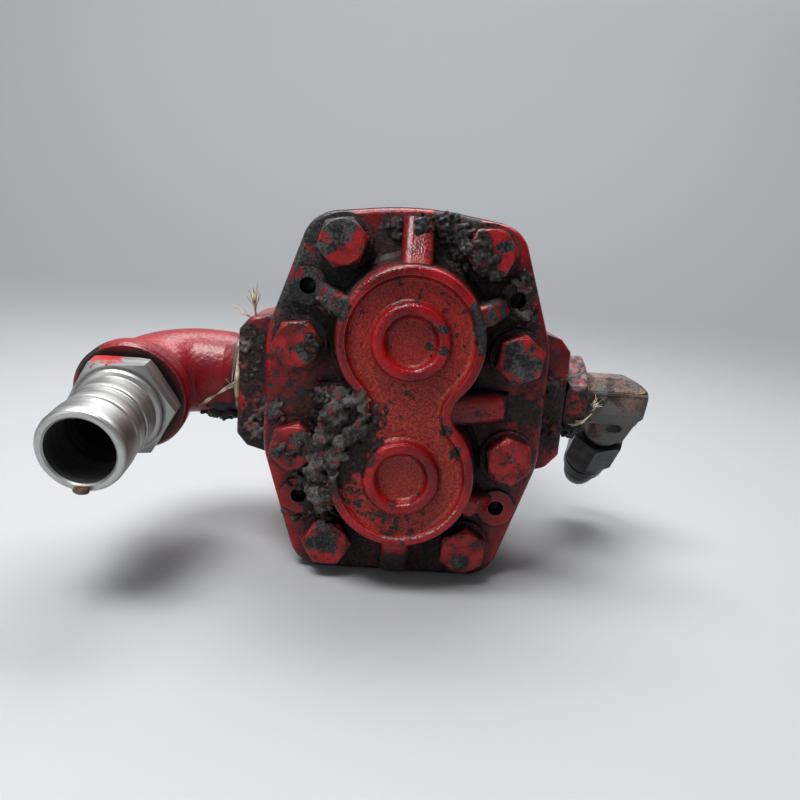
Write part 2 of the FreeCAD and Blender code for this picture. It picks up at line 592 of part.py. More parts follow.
def suction_elbow():
    """A malleable-iron male and female elbow with a beaded mouth."""
    port = -PORT_OFFSET
    neck = port_turn([(port + 17, 0), (port + 17, 20.3), (port + 1, 20.9), (port - 1.5, 20.9),
                      (port - 4, 21.4),
                      (port - 9, 22.6), (BEND_X + BEND_RADIUS, 23.2), (BEND_X + BEND_RADIUS, 0)])
    mouth = bend_turn([(BEND_RADIUS, 0), (BEND_RADIUS, 23.2), (31.0, 24.2), (33.5, 26.8), (35.5, 28.4),
                       (38, 28.8),
                       (43.5, 28.8), (BAND_FACE, 27.6), (BAND_FACE, 0)])
    outer = neck.fuse([bend_of(23.2), mouth])
    inner = port_turn([(port + 18, 0), (port + 18, 17.2), (BEND_X + BEND_RADIUS, 17.6),
                       (BEND_X + BEND_RADIUS, 0)])
    thread = bend_turn([(BEND_RADIUS, 0), (BEND_RADIUS, 20.95), (BAND_FACE + 1, 20.95), (BAND_FACE + 1, 0)])
    elbow = outer.cut(inner.fuse([bend_of(17.6), thread]))
    return about_port(elbow, BEND_TILT)


def hose_tail():
    """A hexagon-shouldered hose tail for 38 mm hose, with barbed lands."""
    hexagon = hex_bar_y(46.0, tail_y(60.0), tail_y(48.2), BEND_X, MIDDLE_Z)
    crown = bend_turn([(48.2, 0), (48.2, 24.4), (49.6, 26.8), (58.0, 26.8), (60.0, 22.6), (60.0, 0)])
    body = bend_turn([(29.0, 0), (29.0, 20.2), (30.5, 20.9), (48.3, 20.9), (48.3, 21.5), (61.6, 21.2),
                      (62.6, 20.4), (63.4, 18.8), (64.2, 18.5), (75.0, 19.5), (75.8, 19.3), (76.4, 18.6),
                      (77.0, 18.5), (87.5, 19.5), (88.3, 19.3), (88.9, 18.6), (89.6, 18.6), (90.5, 19.4),
                      (91.2, TAIL_RADIUS), (TAIL_END - 3.0, TAIL_RADIUS), (TAIL_END - 1.4, 19.5),
                      (TAIL_END - 0.4, 18.9), (TAIL_END, 18.1), (TAIL_END, 16.3), (TAIL_END - 0.8, 15.6),
                      (TAIL_END - 0.8, 0)])
    bore = bend_turn([(28.0, 0), (28.0, TAIL_BORE), (TAIL_END + 1, TAIL_BORE), (TAIL_END + 1, 0)])
    return about_port(hexagon.common(crown).fuse(body).cut(bore), BEND_TILT)


def inlet_hemp():
    """Hemp packing wound on the suction thread, squeezed out at the port's mouth."""
    port = -PORT_OFFSET
    return port_turn([(port + 0.8, 21.0), (port + 0.8, 22.2), (port - 0.6, 23.0), (port - 1.8, 22.4),
                      (port - 1.8, 21.0)])


# ---------------------------------------------------------------- pressure side
ADAPTER_FLATS = 41.0
ADAPTER_END = 98.5
LEG_X = 122.0              # the pressure elbow's leg, from the middle plane
LEG_ANGLE = 47.0           # the leg slopes back and down
LEG_END = 91.4
ELBOW_HALF = 13.5
OUTLET_BORE = 5.0


def leg_turn(profile):
    """Turns a profile of (distance, radius) points about the elbow's leg."""
    shape = revolve_y([(PORT_Y + distance, radius) for distance, radius in profile], LEG_X, MIDDLE_Z)
    return about_port(shape, -LEG_ANGLE)


def pressure_adapter():
    """A hexagon reducing nipple: large thread in the pump, small thread for the elbow."""
    corner = ADAPTER_FLATS / math.sqrt(3)
    start = PRESSURE_OFFSET + 1.2
    points = []
    for i in range(6):
        angle = math.radians(25 + 60 * i)
        points.append(Vector(start, PORT_Y - corner * math.cos(angle), MIDDLE_Z + corner * math.sin(angle)))
    hexagon = polygon_prism(points, ALONG_X * (ADAPTER_END - start))
    crown = port_turn([(start, 0), (start, 21.5), (start + 1.4, 24), (ADAPTER_END - 1.6, 24),
                       (ADAPTER_END, 20.8),
                       (ADAPTER_END, 0)])
    thread = port_turn([(PRESSURE_OFFSET - 17, 0), (PRESSURE_OFFSET - 17, 15.4),
                        (PRESSURE_OFFSET - 16, 16.5), (PRESSURE_OFFSET + 2, 16.5),
                        (PRESSURE_OFFSET + 2, 0)])
    bore = port_turn([(PRESSURE_OFFSET - 18, 0), (PRESSURE_OFFSET - 18, 9), (ADAPTER_END - 14, 9),
                      (ADAPTER_END - 13, 12.2),
                      (ADAPTER_END + 1, 12.2), (ADAPTER_END + 1, 0)])
    return hexagon.common(crown).fuse(thread).cut(bore)


def pressure_elbow():
    """A forged elbow: square arm with a rounded heel, a round leg and a union thread."""
    start = ADAPTER_END + 1.4
    end = LEG_X + ELBOW_HALF + 1.0
    size = 2 * ELBOW_HALF
    corner = Vector(start, PORT_Y - ELBOW_HALF, MIDDLE_Z - ELBOW_HALF)
    arm = Part.makeBox(end - start, size, size, corner)
    arm = arm.makeChamfer(7.0, [e for e in arm.Edges if abs(e.Vertexes[0].X - e.Vertexes[-1].X) > 1])
    arm = fillet_where(arm, 1.6, lambda e: abs(e.Vertexes[0].X - e.Vertexes[-1].X) > 1)
    heel = Part.makeBox(end - start + 10, 60, size, Vector(start - 10, PORT_Y - 30, MIDDLE_Z - ELBOW_HALF))
    heel = fillet_where(heel, 15.0,
                        lambda e: e.CenterOfMass.x > end - 0.1 and e.CenterOfMass.z > MIDDLE_Z + 1)
    plan = Part.makeBox(end - start + 10, size + 30, 60,
                        Vector(start - 10, PORT_Y - ELBOW_HALF, MIDDLE_Z - 30))
    plan = fillet_where(plan, 8.0, lambda e: e.CenterOfMass.x > end - 0.1 and e.CenterOfMass.y < PORT_Y - 1)
    flash = Part.makeBox(end - start - 6, 2.0, 1.2, corner + Vector(3, -0.5, size - 8.6))
    arm = arm.common(heel).common(plan).fuse(flash)
    shank = Part.makeBox(size, 27.0, size, Vector(end - size, PORT_Y, MIDDLE_Z - ELBOW_HALF))
    shank = fillet_where(shank, 6.5, lambda e: abs(e.Vertexes[0].Y - e.Vertexes[-1].Y) > 1)
    shank = fillet_where(shank, 3.0, lambda e: all(abs(v.Y - PORT_Y - 27.0) < 1e-3 for v in e.Vertexes))
    outline = [(end, -11.0), (end - 5.0, 1.0), (end - 7.0, 30.0), (end + 20, 30.0), (end + 20, -11.0)]
    taper = [Vector(x, PORT_Y + distance, MIDDLE_Z - 30) for x, distance in outline]
    taper = about_port(polygon_prism(taper, Vector(0, 0, 60)), -LEG_ANGLE)
    shank = about_port(shank, -LEG_ANGLE)
    pit = Part.makeSphere(9.0, Vector(LEG_X - 1.0, PORT_Y + 11.0, MIDDLE_Z - ELBOW_HALF - 7.4))
    arm = arm.fuse(shank).cut([about_port(pit, -LEG_ANGLE), taper])
    thread = port_turn([(ADAPTER_END - 12, 0), (ADAPTER_END - 12, 11.4), (ADAPTER_END - 11, 12.1),
                        (start + 1, 12.1),
                        (start + 1, 0)])
    leg = leg_turn([(20, 0), (20, 12.6), (29.5, 12.6), (31.0, 10.9), (49.0, 10.9), (50.0, 9.8), (50.0, 0)])
    bore = port_turn([(ADAPTER_END - 13, 0), (ADAPTER_END - 13, 8), (LEG_X + 6, 8), (LEG_X + 6, 0)])
    leg_bore = leg_turn([(-5, 0), (-5, 7.5), (44, 7.5), (50.1, 9.6), (51, 9.6), (51, 0)])
    return arm.fuse([thread, leg]).cut([bore, leg_bore])


def union_nut():
    """A swivel nut with a smooth collar, crimped on the outlet nipple."""
    hexagon = hex_bar_y(28.0, PORT_Y + 34, PORT_Y + 60, LEG_X, MIDDLE_Z, 14)
    crown = revolve_y([(PORT_Y + 34, 0), (PORT_Y + 34, 14.0), (PORT_Y + 35.6, 16.4), (PORT_Y + 57.0, 16.4),
                       (PORT_Y + 60, 13.4), (PORT_Y + 60, 0)], LEG_X, MIDDLE_Z)
    collar = revolve_y([(PORT_Y + 57, 0), (PORT_Y + 57, 13.4), (PORT_Y + 63, 13.4), (PORT_Y + 65, 12.9),
                        (PORT_Y + 66, 13.3),
                        (PORT_Y + 72, 12.9), (PORT_Y + 74, 11.4), (PORT_Y + 74, 0)], LEG_X, MIDDLE_Z)
    nut = about_port(hexagon.common(crown).fuse(collar), -LEG_ANGLE)
    return nut.cut(leg_turn([(33, 0), (33, 11.0), (56, 11.0), (57.5, 9.2), (75, 9.2), (75, 0)]))


def outlet_nipple():
    """The cone-seated nipple that the union nut pulls home, with a rounded, drilled nose."""
    body = leg_turn([(44.5, 0), (44.5, 7.6), (50.0, 9.4), (51, 10.4), (55.5, 10.4), (57.2, 9.0),
                     (75.0, 9.0),
                     (75.0, 10.8), (80.0, 10.5), (85.0, 9.5), (88.6, 8.0), (90.6, 6.6), (LEG_END, 5.8),
                     (LEG_END, 0)])
    return body.cut(leg_turn([(43, 0), (43, OUTLET_BORE), (LEG_END + 1, OUTLET_BORE), (LEG_END + 1, 0)]))


def outlet_hemp():
    """Hemp packing squeezed out between the adapter and the elbow."""
    return port_turn([(ADAPTER_END, 12.3), (ADAPTER_END, 15.5), (ADAPTER_END + 0.7, 16.0),
                      (ADAPTER_END + 1.4, 15.0),
                      (ADAPTER_END + 1.4, 12.3)])


# ---------------------------------------------------------------- write every piece
def pieces():
    seal_top = REAR_JOINT - 2.3
    return {
        "rear_cover": rear_cover(),
        "gear_housing": gear_housing(),
        "front_cover": front_cover(),
        "cover_bolts": cover_bolts(),
        "rear_dowel_pins": dowel_pins(REAR_JOINT),
        "front_dowel_pins": dowel_pins(FRONT_JOINT),
        "rear_body_seal": seal_groove(seal_top, REAR_JOINT, 0.0),
        "front_body_seal": seal_groove(FRONT_JOINT, FRONT_JOINT + 2.3, 0.0),
        "rear_thrust_plate": thrust_plate(REAR_JOINT, REAR_JOINT + PLATE_THICKNESS),
        "front_thrust_plate": thrust_plate(FRONT_JOINT - PLATE_THICKNESS, FRONT_JOINT - PLATE_THICKNESS),
        "rear_plate_seal": plate_seal(REAR_JOINT, 2.1, 0.0),
        "front_plate_seal": plate_seal(FRONT_JOINT - 2.1, 2.1, 0.0),
        "rear_drive_bush": bush(REAR_JOINT - BUSH_LENGTH - 0.5, 0),
        "rear_driven_bush": bush(REAR_JOINT - BUSH_LENGTH - 0.5, DRIVEN_Z),
        "front_drive_bush": bush(FRONT_JOINT + 0.5, 0),
        "front_driven_bush": bush(FRONT_JOINT + 0.5, DRIVEN_Z),
        "inner_shaft_seal": shaft_seal(SEAL_FLOOR),
        "seal_spacer": seal_spacer(SEAL_FLOOR + 8.0),
        "outer_shaft_seal": shaft_seal(SEAL_FLOOR + 11.0),
        "seal_circlip": seal_circlip(CIRCLIP_REAR),
        "drive_gear_shaft": drive_gear_shaft(),
        "driven_gear_shaft": driven_gear_shaft(),
        "suction_elbow": suction_elbow(),
        "hose_tail": hose_tail(),
        "inlet_hemp": inlet_hemp(),
        "pressure_adapter": pressure_adapter(),
        "pressure_elbow": pressure_elbow(),
        "union_nut": union_nut(),
        "outlet_nipple": outlet_nipple(),
        "outlet_hemp": outlet_hemp(),
    }


def main():
    os.makedirs("parts", exist_ok=True)
    for name, shape in pieces().items():
        shape.exportStep(f"parts/{name}.step")
        facts = f"valid {shape.isValid()}, {len(shape.Solids)} solid(s), {shape.Volume / 1000:.2f} cm3"
        print(f"{name}: {facts}")


main()
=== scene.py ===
# %% [markdown]
# # A red gear pump, fresh off a tipper lorry
#
# The castings, gears, bolts and pipe fittings come ready-made from the engineering model, in metres, each
# object sitting at the origin with its place in its mesh. This script gives them their finishes: thick
# red enamel over sand-cast iron, flaked and caked with greasy road dirt, a clean red suction bend, a
# turned steel hose tail and a rusty pressure elbow. It also models what no drawing shows: the crusts of
# dirt and the hemp that the fitter wound into the pipe threads.

import math
import random

import bpy
import mathutils
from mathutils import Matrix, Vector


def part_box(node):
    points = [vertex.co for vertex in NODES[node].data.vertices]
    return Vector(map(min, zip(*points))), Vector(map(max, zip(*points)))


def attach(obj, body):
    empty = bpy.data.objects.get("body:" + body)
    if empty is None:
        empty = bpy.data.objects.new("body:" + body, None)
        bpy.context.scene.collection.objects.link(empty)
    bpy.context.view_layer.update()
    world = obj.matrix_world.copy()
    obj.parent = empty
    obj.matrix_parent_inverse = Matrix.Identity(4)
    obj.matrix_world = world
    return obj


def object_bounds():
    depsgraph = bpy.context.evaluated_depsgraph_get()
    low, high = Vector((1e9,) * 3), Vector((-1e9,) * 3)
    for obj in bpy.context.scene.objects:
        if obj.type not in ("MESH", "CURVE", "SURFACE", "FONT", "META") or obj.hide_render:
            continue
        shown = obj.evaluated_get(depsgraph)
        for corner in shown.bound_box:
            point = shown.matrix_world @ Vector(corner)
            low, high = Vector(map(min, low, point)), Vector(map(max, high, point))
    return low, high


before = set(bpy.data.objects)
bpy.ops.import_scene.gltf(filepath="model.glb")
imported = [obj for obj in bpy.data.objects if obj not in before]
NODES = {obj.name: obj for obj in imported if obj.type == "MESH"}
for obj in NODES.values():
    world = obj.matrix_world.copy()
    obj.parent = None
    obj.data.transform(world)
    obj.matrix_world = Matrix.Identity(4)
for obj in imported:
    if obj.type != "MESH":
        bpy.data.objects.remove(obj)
cad_box = [list(corner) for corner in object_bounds()]
print("the pump measures", [round(high - low, 4) for low, high in zip(*cad_box)], "metres")

# %% [markdown]
# ## The camera
#
# The viewer stands in front of the rear cover, a little above it, and holds the camera slightly askew, so
# the pump seems to lean to the right. A lens of 31.5 mm on a 36 mm sensor is fairly wide, which is why
# the hose tail on the left looks so big. The place is given in the pump's own frame, and the three turns
# are the tilt, the heading and the lean.

# %% Camera
CAMERA_PLACE = (-0.01124, -0.47662, 0.04454)
TILT, HEADING, LEAN = math.radians(90 - 12.64), math.radians(-1.44), math.radians(4.35)

camera = bpy.data.objects.new("camera", bpy.data.cameras.new("camera"))
bpy.context.scene.collection.objects.link(camera)
turn = mathutils.Matrix.Rotation(HEADING, 4, "Z") @ mathutils.Matrix.Rotation(TILT, 4, "X")
turn = turn @ mathutils.Matrix.Rotation(LEAN, 4, "Z")
camera.matrix_world = mathutils.Matrix.Translation(CAMERA_PLACE) @ turn
camera.data.lens = 31.5
camera.data.sensor_width = 36
camera.data.clip_start = 0.01
bpy.context.scene.camera = camera
print("camera axes", [tuple(round(v, 4) for v in column[:3]) for column in turn.transposed()][:3])

# %% [markdown]
# ## Small helpers
#
# Three short functions are used all the way down. One clears the selection, because operators work on
# whatever is selected. One finishes a piece: its place goes into its mesh and it is hung on its body. The
# last turns a share of a part's box into a point, so that a place is said as so far along the cover
# instead of in millimetres.

# %% Helpers for picking and finishing
def nothing_selected():
    """Operators work on whatever is selected, so each piece starts from a clean slate."""
    for thing in bpy.context.selected_objects:
        thing.select_set(False)


def settle(piece, body="pump"):
    """Puts the piece's place into its mesh and hangs it on its body."""
    nothing_selected()
    piece.select_set(True)
    bpy.context.view_layer.objects.active = piece
    bpy.ops.object.transform_apply(location=True, rotation=True, scale=True)
    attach(piece, body)
    print(piece.name, "has", len(piece.data.polygons), "faces")
    return piece


def within(node, share):
    """The point at that share of a node's box: 0 at its left, near, lower corner and 1 at the other end."""
    low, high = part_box(node)
    return tuple(a + (b - a) * s for a, b, s in zip(low, high, share))

# %% [markdown]
# ## Floor
#
# A pale sheet lies under the pump and rolls up behind it, as in a product studio, so there is no horizon.
# It is a plane whose far edge is pulled up and the fold between the two bevelled into a wide sweep.

# %% Studio floor
FLOOR_Z = cad_box[0][2]
FLOOR_WIDTH, FLOOR_DEPTH = 8, 5
FLOOR_MIDDLE = 0.3
WALL_HEIGHT = 3
SWEEP_WIDTH = 1.2

nothing_selected()
bpy.ops.mesh.primitive_plane_add(size=1, location=(0, FLOOR_MIDDLE, FLOOR_Z))
floor = bpy.context.object
floor.name = "studio_floor"
floor.scale = (FLOOR_WIDTH, FLOOR_DEPTH, 1)
bpy.ops.object.transform_apply(location=True, scale=True)
bpy.ops.object.mode_set(mode="EDIT")
bpy.ops.mesh.select_all(action="DESELECT")
bpy.ops.object.mode_set(mode="OBJECT")
for edge in floor.data.edges:
    edge.select = all(floor.data.vertices[i].co.y > FLOOR_MIDDLE for i in edge.vertices)
bpy.ops.object.mode_set(mode="EDIT")
bpy.ops.mesh.extrude_region_move(TRANSFORM_OT_translate={"value": (0, 0, WALL_HEIGHT)})
bpy.ops.object.mode_set(mode="OBJECT")
bend = floor.modifiers.new("sweep", "BEVEL")
bend.width = SWEEP_WIDTH
bend.segments = 12
bend.limit_method = "ANGLE"
bpy.ops.object.modifier_apply(modifier="sweep")
bpy.ops.object.shade_smooth()
paper = bpy.data.materials.new("grey_paper")
paper.use_nodes = True
paper.node_tree.nodes["Principled BSDF"].inputs["Base Color"].default_value = (0.44, 0.45, 0.46, 1)
paper.node_tree.nodes["Principled BSDF"].inputs["Roughness"].default_value = 0.7
floor.data.materials.append(paper)
print("the floor lies at", round(FLOOR_Z, 4))

# %% [markdown]
# ## Light
#
# The key lamp hangs above, in front and to the left. A wide one overhead and slightly behind gives the
# tops of the bolts, the bend and the crest of the cover a soft white gleam. A weak one low on the left
# opens up the shadows, a long one lights only the sheet behind, and the pale surroundings do the rest.

# %% Lights
def soft_lamp(name, place, target, width, depth, watts):
    """A rectangular lamp that looks at its target."""
    lamp = bpy.data.objects.new(name, bpy.data.lights.new(name, "AREA"))
    bpy.context.scene.collection.objects.link(lamp)
    lamp.data.shape = "RECTANGLE"
    lamp.data.size = width
    lamp.data.size_y = depth
    lamp.data.energy = watts
    lamp.location = place
    aim = mathutils.Vector(target) - mathutils.Vector(place)
    lamp.rotation_euler = aim.to_track_quat("-Z", "Y").to_euler()
    print(name, watts, "W")


soft_lamp("key", (-0.30, -0.42, 0.85), (0, -0.13, -0.03), 0.45, 0.35, 8.5)
soft_lamp("top_gleam", (0.05, 0.30, 0.85), (0, -0.09, 0.0), 0.9, 0.4, 7)
soft_lamp("front_left", (-0.9, -1.2, 0.35), (0, -0.1, -0.03), 0.6, 0.5, 2.5)
soft_lamp("backdrop", (0, 0.9, 2.4), (0, 3.0, 1.0), 6.0, 0.8, 80)

surroundings = bpy.data.worlds.new("pale_room")
bpy.context.scene.world = surroundings
surroundings.use_nodes = True
sky = surroundings.node_tree.nodes["Background"]
sky.inputs["Color"].default_value = (0.93, 0.96, 1.0, 1)
sky.inputs["Strength"].default_value = 0.17
bpy.context.scene.view_settings.view_transform = "Standard"
bpy.context.scene.view_settings.look = "Medium High Contrast"

# %% [markdown]
# ## Building finishes from shared effects
#
# Every finish here is some ground coat with layers over it: chips, rubbed edges, grease, dust. Painting
# each one from scratch would mean dozens of loose nodes, so each effect is made once as a node group with
# named sockets, and every material places it with its own numbers. Object coordinates are used
# throughout. They are metres in the pump's frame, so a noise scale of 1000 gives grains about a
# millimetre across.

# %% Node helpers
def put(tree, kind, wires=None, **settings):
    """Adds a node. wires maps a socket to a number, a colour or another node's socket."""
    made = tree.nodes.new(kind)
    for key, value in settings.items():
        setattr(made, key, value)
    for key, value in (wires or {}).items():
        if isinstance(value, bpy.types.NodeSocket):
            tree.links.new(value, made.inputs[key])
        else:
            made.inputs[key].default_value = value
    return made


def maths(tree, operation, first, second=0.0, clamp=False):
    """One sum on two values."""
    return put(tree, "ShaderNodeMath", {0: first, 1: second}, operation=operation,
               use_clamp=clamp).outputs[0]


def ramp(tree, value, low, high):
    """0 below low, 1 above high, and smooth between."""
    wires = {"Value": value, "From Min": low, "From Max": high}
    made = put(tree, "ShaderNodeMapRange", wires, interpolation_type="SMOOTHSTEP")
    return made.outputs["Result"]


def new_group(name, takes, gives):
    """A node group with its sockets. takes and gives map a name to (socket type, default value)."""
    tree = bpy.data.node_groups.new(name, "ShaderNodeTree")
    for label, (kind, value) in takes.items():
        made = tree.interface.new_socket(label, in_out="INPUT", socket_type="NodeSocket" + kind)
        if value is not None:
            made.default_value = value
    for label, kind in gives.items():
        tree.interface.new_socket(label, in_out="OUTPUT", socket_type="NodeSocket" + kind)
    print("group", name, "takes", list(takes), "and gives", list(gives))
    return tree, tree.nodes.new("NodeGroupInput").outputs, tree.nodes.new("NodeGroupOutput").inputs


def place(tree, group_name, **wires):
    """Puts a group into a material. Sockets are written with underscores for spaces."""
    made = tree.nodes.new("ShaderNodeGroup")
    made.node_tree = bpy.data.node_groups[group_name]
    for key, value in wires.items():
        key = key.replace("_", " ")
        if isinstance(value, bpy.types.NodeSocket):
            tree.links.new(value, made.inputs[key])
        else:
            made.inputs[key].default_value = value
    return made.outputs

# %% [markdown]
# ### Patches, spots, hollows and rubbed edges
#
# Four masks say where a layer lies. *Patches* cuts noise at a level, for flaked paint. A *spot* fades out
# round a place, for dirt that sits in one corner and for one painted highlight. *Hollows* finds inner
# corners by looking how much of the sky each point sees, which is where ambient shade falls, so the dark
# layers laid with it are painted shade, mixed with dirt where the real piece is dirty. *Rubbed edges*
# compares the true normal with one that is rounded over, which differ only along corners, where paint
# wears through first.

# %% Mask groups
def build_patches():
    tree, takes, gives = new_group("patches", {"Vector": ("Vector", None), "Scale": ("Float", 100.0),
                                               "Level": ("Float", 0.5), "Softness": ("Float", 0.02),
                                               "Bias": ("Float", 0.0)}, {"Mask": "Float"})
    noise = put(tree, "ShaderNodeTexNoise", {"Vector": takes["Vector"], "Scale": takes["Scale"],
                                             "Detail": 6.0, "Roughness": 0.62})
    value = maths(tree, "ADD", noise.outputs["Fac"], takes["Bias"])
    high = maths(tree, "ADD", takes["Level"], takes["Softness"])
    tree.links.new(ramp(tree, value, takes["Level"], high), gives["Mask"])


def build_spot():
    tree, takes, gives = new_group("spot", {"Vector": ("Vector", None), "Centre": ("Vector", (0, 0, 0)),
                                            "Radius": ("Float", 0.01), "Ragged": ("Float", 0.5)},
                                   {"Mask": "Float"})
    reach = put(tree, "ShaderNodeVectorMath", {0: takes["Vector"], 1: takes["Centre"]},
                operation="DISTANCE")
    share = maths(tree, "DIVIDE", reach.outputs["Value"], takes["Radius"])
    noise = put(tree, "ShaderNodeTexNoise", {"Vector": takes["Vector"], "Scale": 170.0, "Detail": 8.0,
                                             "Roughness": 0.68})
    wobble = maths(tree, "MULTIPLY", maths(tree, "SUBTRACT", noise.outputs["Fac"], 0.5), takes["Ragged"])
    wobble = maths(tree, "MULTIPLY", wobble, 3.6)
    inside = maths(tree, "SUBTRACT", 1.0, maths(tree, "ADD", share, wobble))
    tree.links.new(ramp(tree, inside, 0.0, 0.12), gives["Mask"])


def build_hollows():
    tree, takes, gives = new_group("hollows", {"Vector": ("Vector", None), "Reach": ("Float", 0.008),
                                               "Amount": ("Float", 1.0)}, {"Mask": "Float"})
    # Ambient occlusion: how little of the sky a point sees. Layers laid with this mask are painted shade.
    sky_seen = put(tree, "ShaderNodeAmbientOcclusion", {"Distance": takes["Reach"]}, samples=6)
    closed = maths(tree, "SUBTRACT", 1.0, sky_seen.outputs["AO"])
    noise = put(tree, "ShaderNodeTexNoise", {"Vector": takes["Vector"], "Scale": 260.0, "Detail": 5.0})
    broken = maths(tree, "MULTIPLY", closed, maths(tree, "ADD", noise.outputs["Fac"], 0.35))
    strong = maths(tree, "MULTIPLY", broken, takes["Amount"])
    tree.links.new(ramp(tree, strong, 0.12, 0.4), gives["Mask"])


def build_rubbed_edges():
    tree, takes, gives = new_group("rubbed_edges", {"Vector": ("Vector", None), "Width": ("Float", 0.001),
                                                    "Amount": ("Float", 1.0)}, {"Mask": "Float"})
    rounded = put(tree, "ShaderNodeBevel", {"Radius": takes["Width"]}, samples=4)
    true_normal = put(tree, "ShaderNodeNewGeometry").outputs["Normal"]
    alike = put(tree, "ShaderNodeVectorMath", {0: rounded.outputs["Normal"], 1: true_normal},
                operation="DOT_PRODUCT")
    corner = maths(tree, "SUBTRACT", 1.0, alike.outputs["Value"])
    noise = put(tree, "ShaderNodeTexNoise", {"Vector": takes["Vector"], "Scale": 420.0, "Detail": 4.0})
    strength = maths(tree, "MULTIPLY", maths(tree, "SUBTRACT", noise.outputs["Fac"], 0.25), takes["Amount"])
    wear_and_highlight = maths(tree, "MULTIPLY", corner, strength)
    tree.links.new(ramp(tree, wear_and_highlight, 0.01, 0.05), gives["Mask"])


build_patches()
build_spot()
build_hollows()
build_rubbed_edges()

# %% [markdown]
# ### Layers and grain
#
# *Over* lays one finish on another wherever its mask is white, and carries colour, roughness and height
# along together, as real paint does. *Cast sand* is the pitted skin that iron keeps from its mould, and
# *turned rings* are the fine grooves that a lathe leaves round a fitting.

# %% Layer and grain groups
def build_over():
    tree, takes, gives = new_group("over", {"Colour": ("Color", (1, 1, 1, 1)), "Roughness": ("Float", 0.5),
                                            "Height": ("Float", 0.0), "Top Colour": ("Color", (1, 1, 1, 1)),
                                            "Top Roughness": ("Float", 0.5), "Top Height": ("Float", 0.0),
                                            "Mask": ("Float", 0.0)},
                                   {"Colour": "Color", "Roughness": "Float", "Height": "Float"})
    colour = put(tree, "ShaderNodeMix", data_type="RGBA")
    tree.links.new(takes["Mask"], colour.inputs["Factor"])
    tree.links.new(takes["Colour"], colour.inputs[6])
    tree.links.new(takes["Top Colour"], colour.inputs[7])
    tree.links.new(colour.outputs[2], gives["Colour"])
    for label in ("Roughness", "Height"):
        blend = put(tree, "ShaderNodeMix", {0: takes["Mask"], 2: takes[label], 3: takes["Top " + label]})
        tree.links.new(blend.outputs[0], gives[label])


def build_cast_sand():
    tree, takes, gives = new_group(
        "cast_sand", {"Vector": ("Vector", None), "Grain": ("Float", 900.0)},
        {"Height": "Float", "Tone": "Float"})
    fine = put(tree, "ShaderNodeTexNoise",
               {"Vector": takes["Vector"], "Scale": takes["Grain"], "Detail": 3.0})
    pits = put(tree, "ShaderNodeTexVoronoi", {"Vector": takes["Vector"], "Scale": takes["Grain"]},
               feature="SMOOTH_F1")
    broad = put(tree, "ShaderNodeTexNoise", {"Vector": takes["Vector"], "Scale": 110.0, "Detail": 2.0})
    height = maths(tree, "MULTIPLY", fine.outputs["Fac"], 0.5)
    height = maths(tree, "ADD", height, maths(tree, "MULTIPLY", pits.outputs["Distance"], 0.5))
    height = maths(tree, "ADD", height, maths(tree, "MULTIPLY", broad.outputs["Fac"], 0.9))
    tree.links.new(height, gives["Height"])
    tree.links.new(ramp(tree, fine.outputs["Fac"], 0.38, 0.66), gives["Tone"])


def build_turned_rings():
    tree, takes, gives = new_group("turned_rings", {"Vector": ("Vector", None),
                                                    "Turn": ("Vector", (0, 0, 0)),
                                                    "Pitch": ("Float", 2500.0)},
                                   {"Height": "Float", "Tone": "Float"})
    along = put(tree, "ShaderNodeVectorRotate", {"Vector": takes["Vector"], "Rotation": takes["Turn"]},
                rotation_type="EULER_XYZ")
    squashed = put(tree, "ShaderNodeVectorMath", {0: along.outputs[0], 1: (0.01, 1.0, 0.01)},
                   operation="MULTIPLY")
    rings = put(tree, "ShaderNodeTexNoise",
                {"Vector": squashed.outputs[0], "Scale": takes["Pitch"], "Detail": 4.0})
    coarse = put(tree, "ShaderNodeTexNoise", {"Vector": squashed.outputs[0], "Scale": 220.0, "Detail": 2.0})
    tree.links.new(maths(tree, "ADD", rings.outputs["Fac"], coarse.outputs["Fac"]), gives["Height"])
    tree.links.new(ramp(tree, coarse.outputs["Fac"], 0.35, 0.65), gives["Tone"])


build_over()
build_cast_sand()
build_turned_rings()

# %% [markdown]
# ### Building up a material
#
# Every material begins with a shader and its object coordinates, and ends with colour, roughness and bump
# wired into that shader. In between, layers are added one at a time, from the metal outwards, so each
# finish reads like its own history.

# %% Starting and closing a material
def start(name):
    """A new material with its tree, its shader and its object coordinates."""
    made = bpy.data.materials.new(name)
    made.use_nodes = True
    tree = made.node_tree
    shader = tree.nodes["Principled BSDF"]
    where = put(tree, "ShaderNodeTexCoord").outputs["Object"]
    return made, tree, shader, where


def close(tree, shader, layers, depth, strength=1.0):
    """Wires the finished layers into the shader. depth is how deep a height of 1 is, in metres."""
    tree.links.new(layers["Colour"], shader.inputs["Base Color"])
    tree.links.new(layers["Roughness"], shader.inputs["Roughness"])
    bump = put(tree, "ShaderNodeBump",
               {"Height": layers["Height"], "Distance": depth, "Strength": strength})
    tree.links.new(bump.outputs["Normal"], shader.inputs["Normal"])


def cover(tree, layers, **top):
    """Lays one more finish over the layers so far. top holds its colour, roughness, height and mask."""
    return place(tree, "over", Colour=layers["Colour"], Roughness=layers["Roughness"],
                 Height=layers["Height"], **top)


def cloudy(tree, where, scale, detail):
    """Soft noise between 0 and 1. A scale of 1000 makes features about a millimetre across."""
    noise = put(tree, "ShaderNodeTexNoise", {"Vector": where, "Scale": scale, "Detail": detail})
    return noise.outputs["Fac"]


def two_tones(tree, mask, dark, light):
    """A colour that goes from dark to light with the mask."""
    made = put(tree, "ShaderNodeMix", data_type="RGBA")
    tree.links.new(mask, made.inputs["Factor"])
    made.inputs[6].default_value = (*dark, 1)
    made.inputs[7].default_value = (*light, 1)
    return made.outputs[2]


def highest(tree, masks):
    """The strongest of several masks."""
    result = masks[0]
    for mask in masks[1:]:
        result = maths(tree, "MAXIMUM", result, mask)
    return result
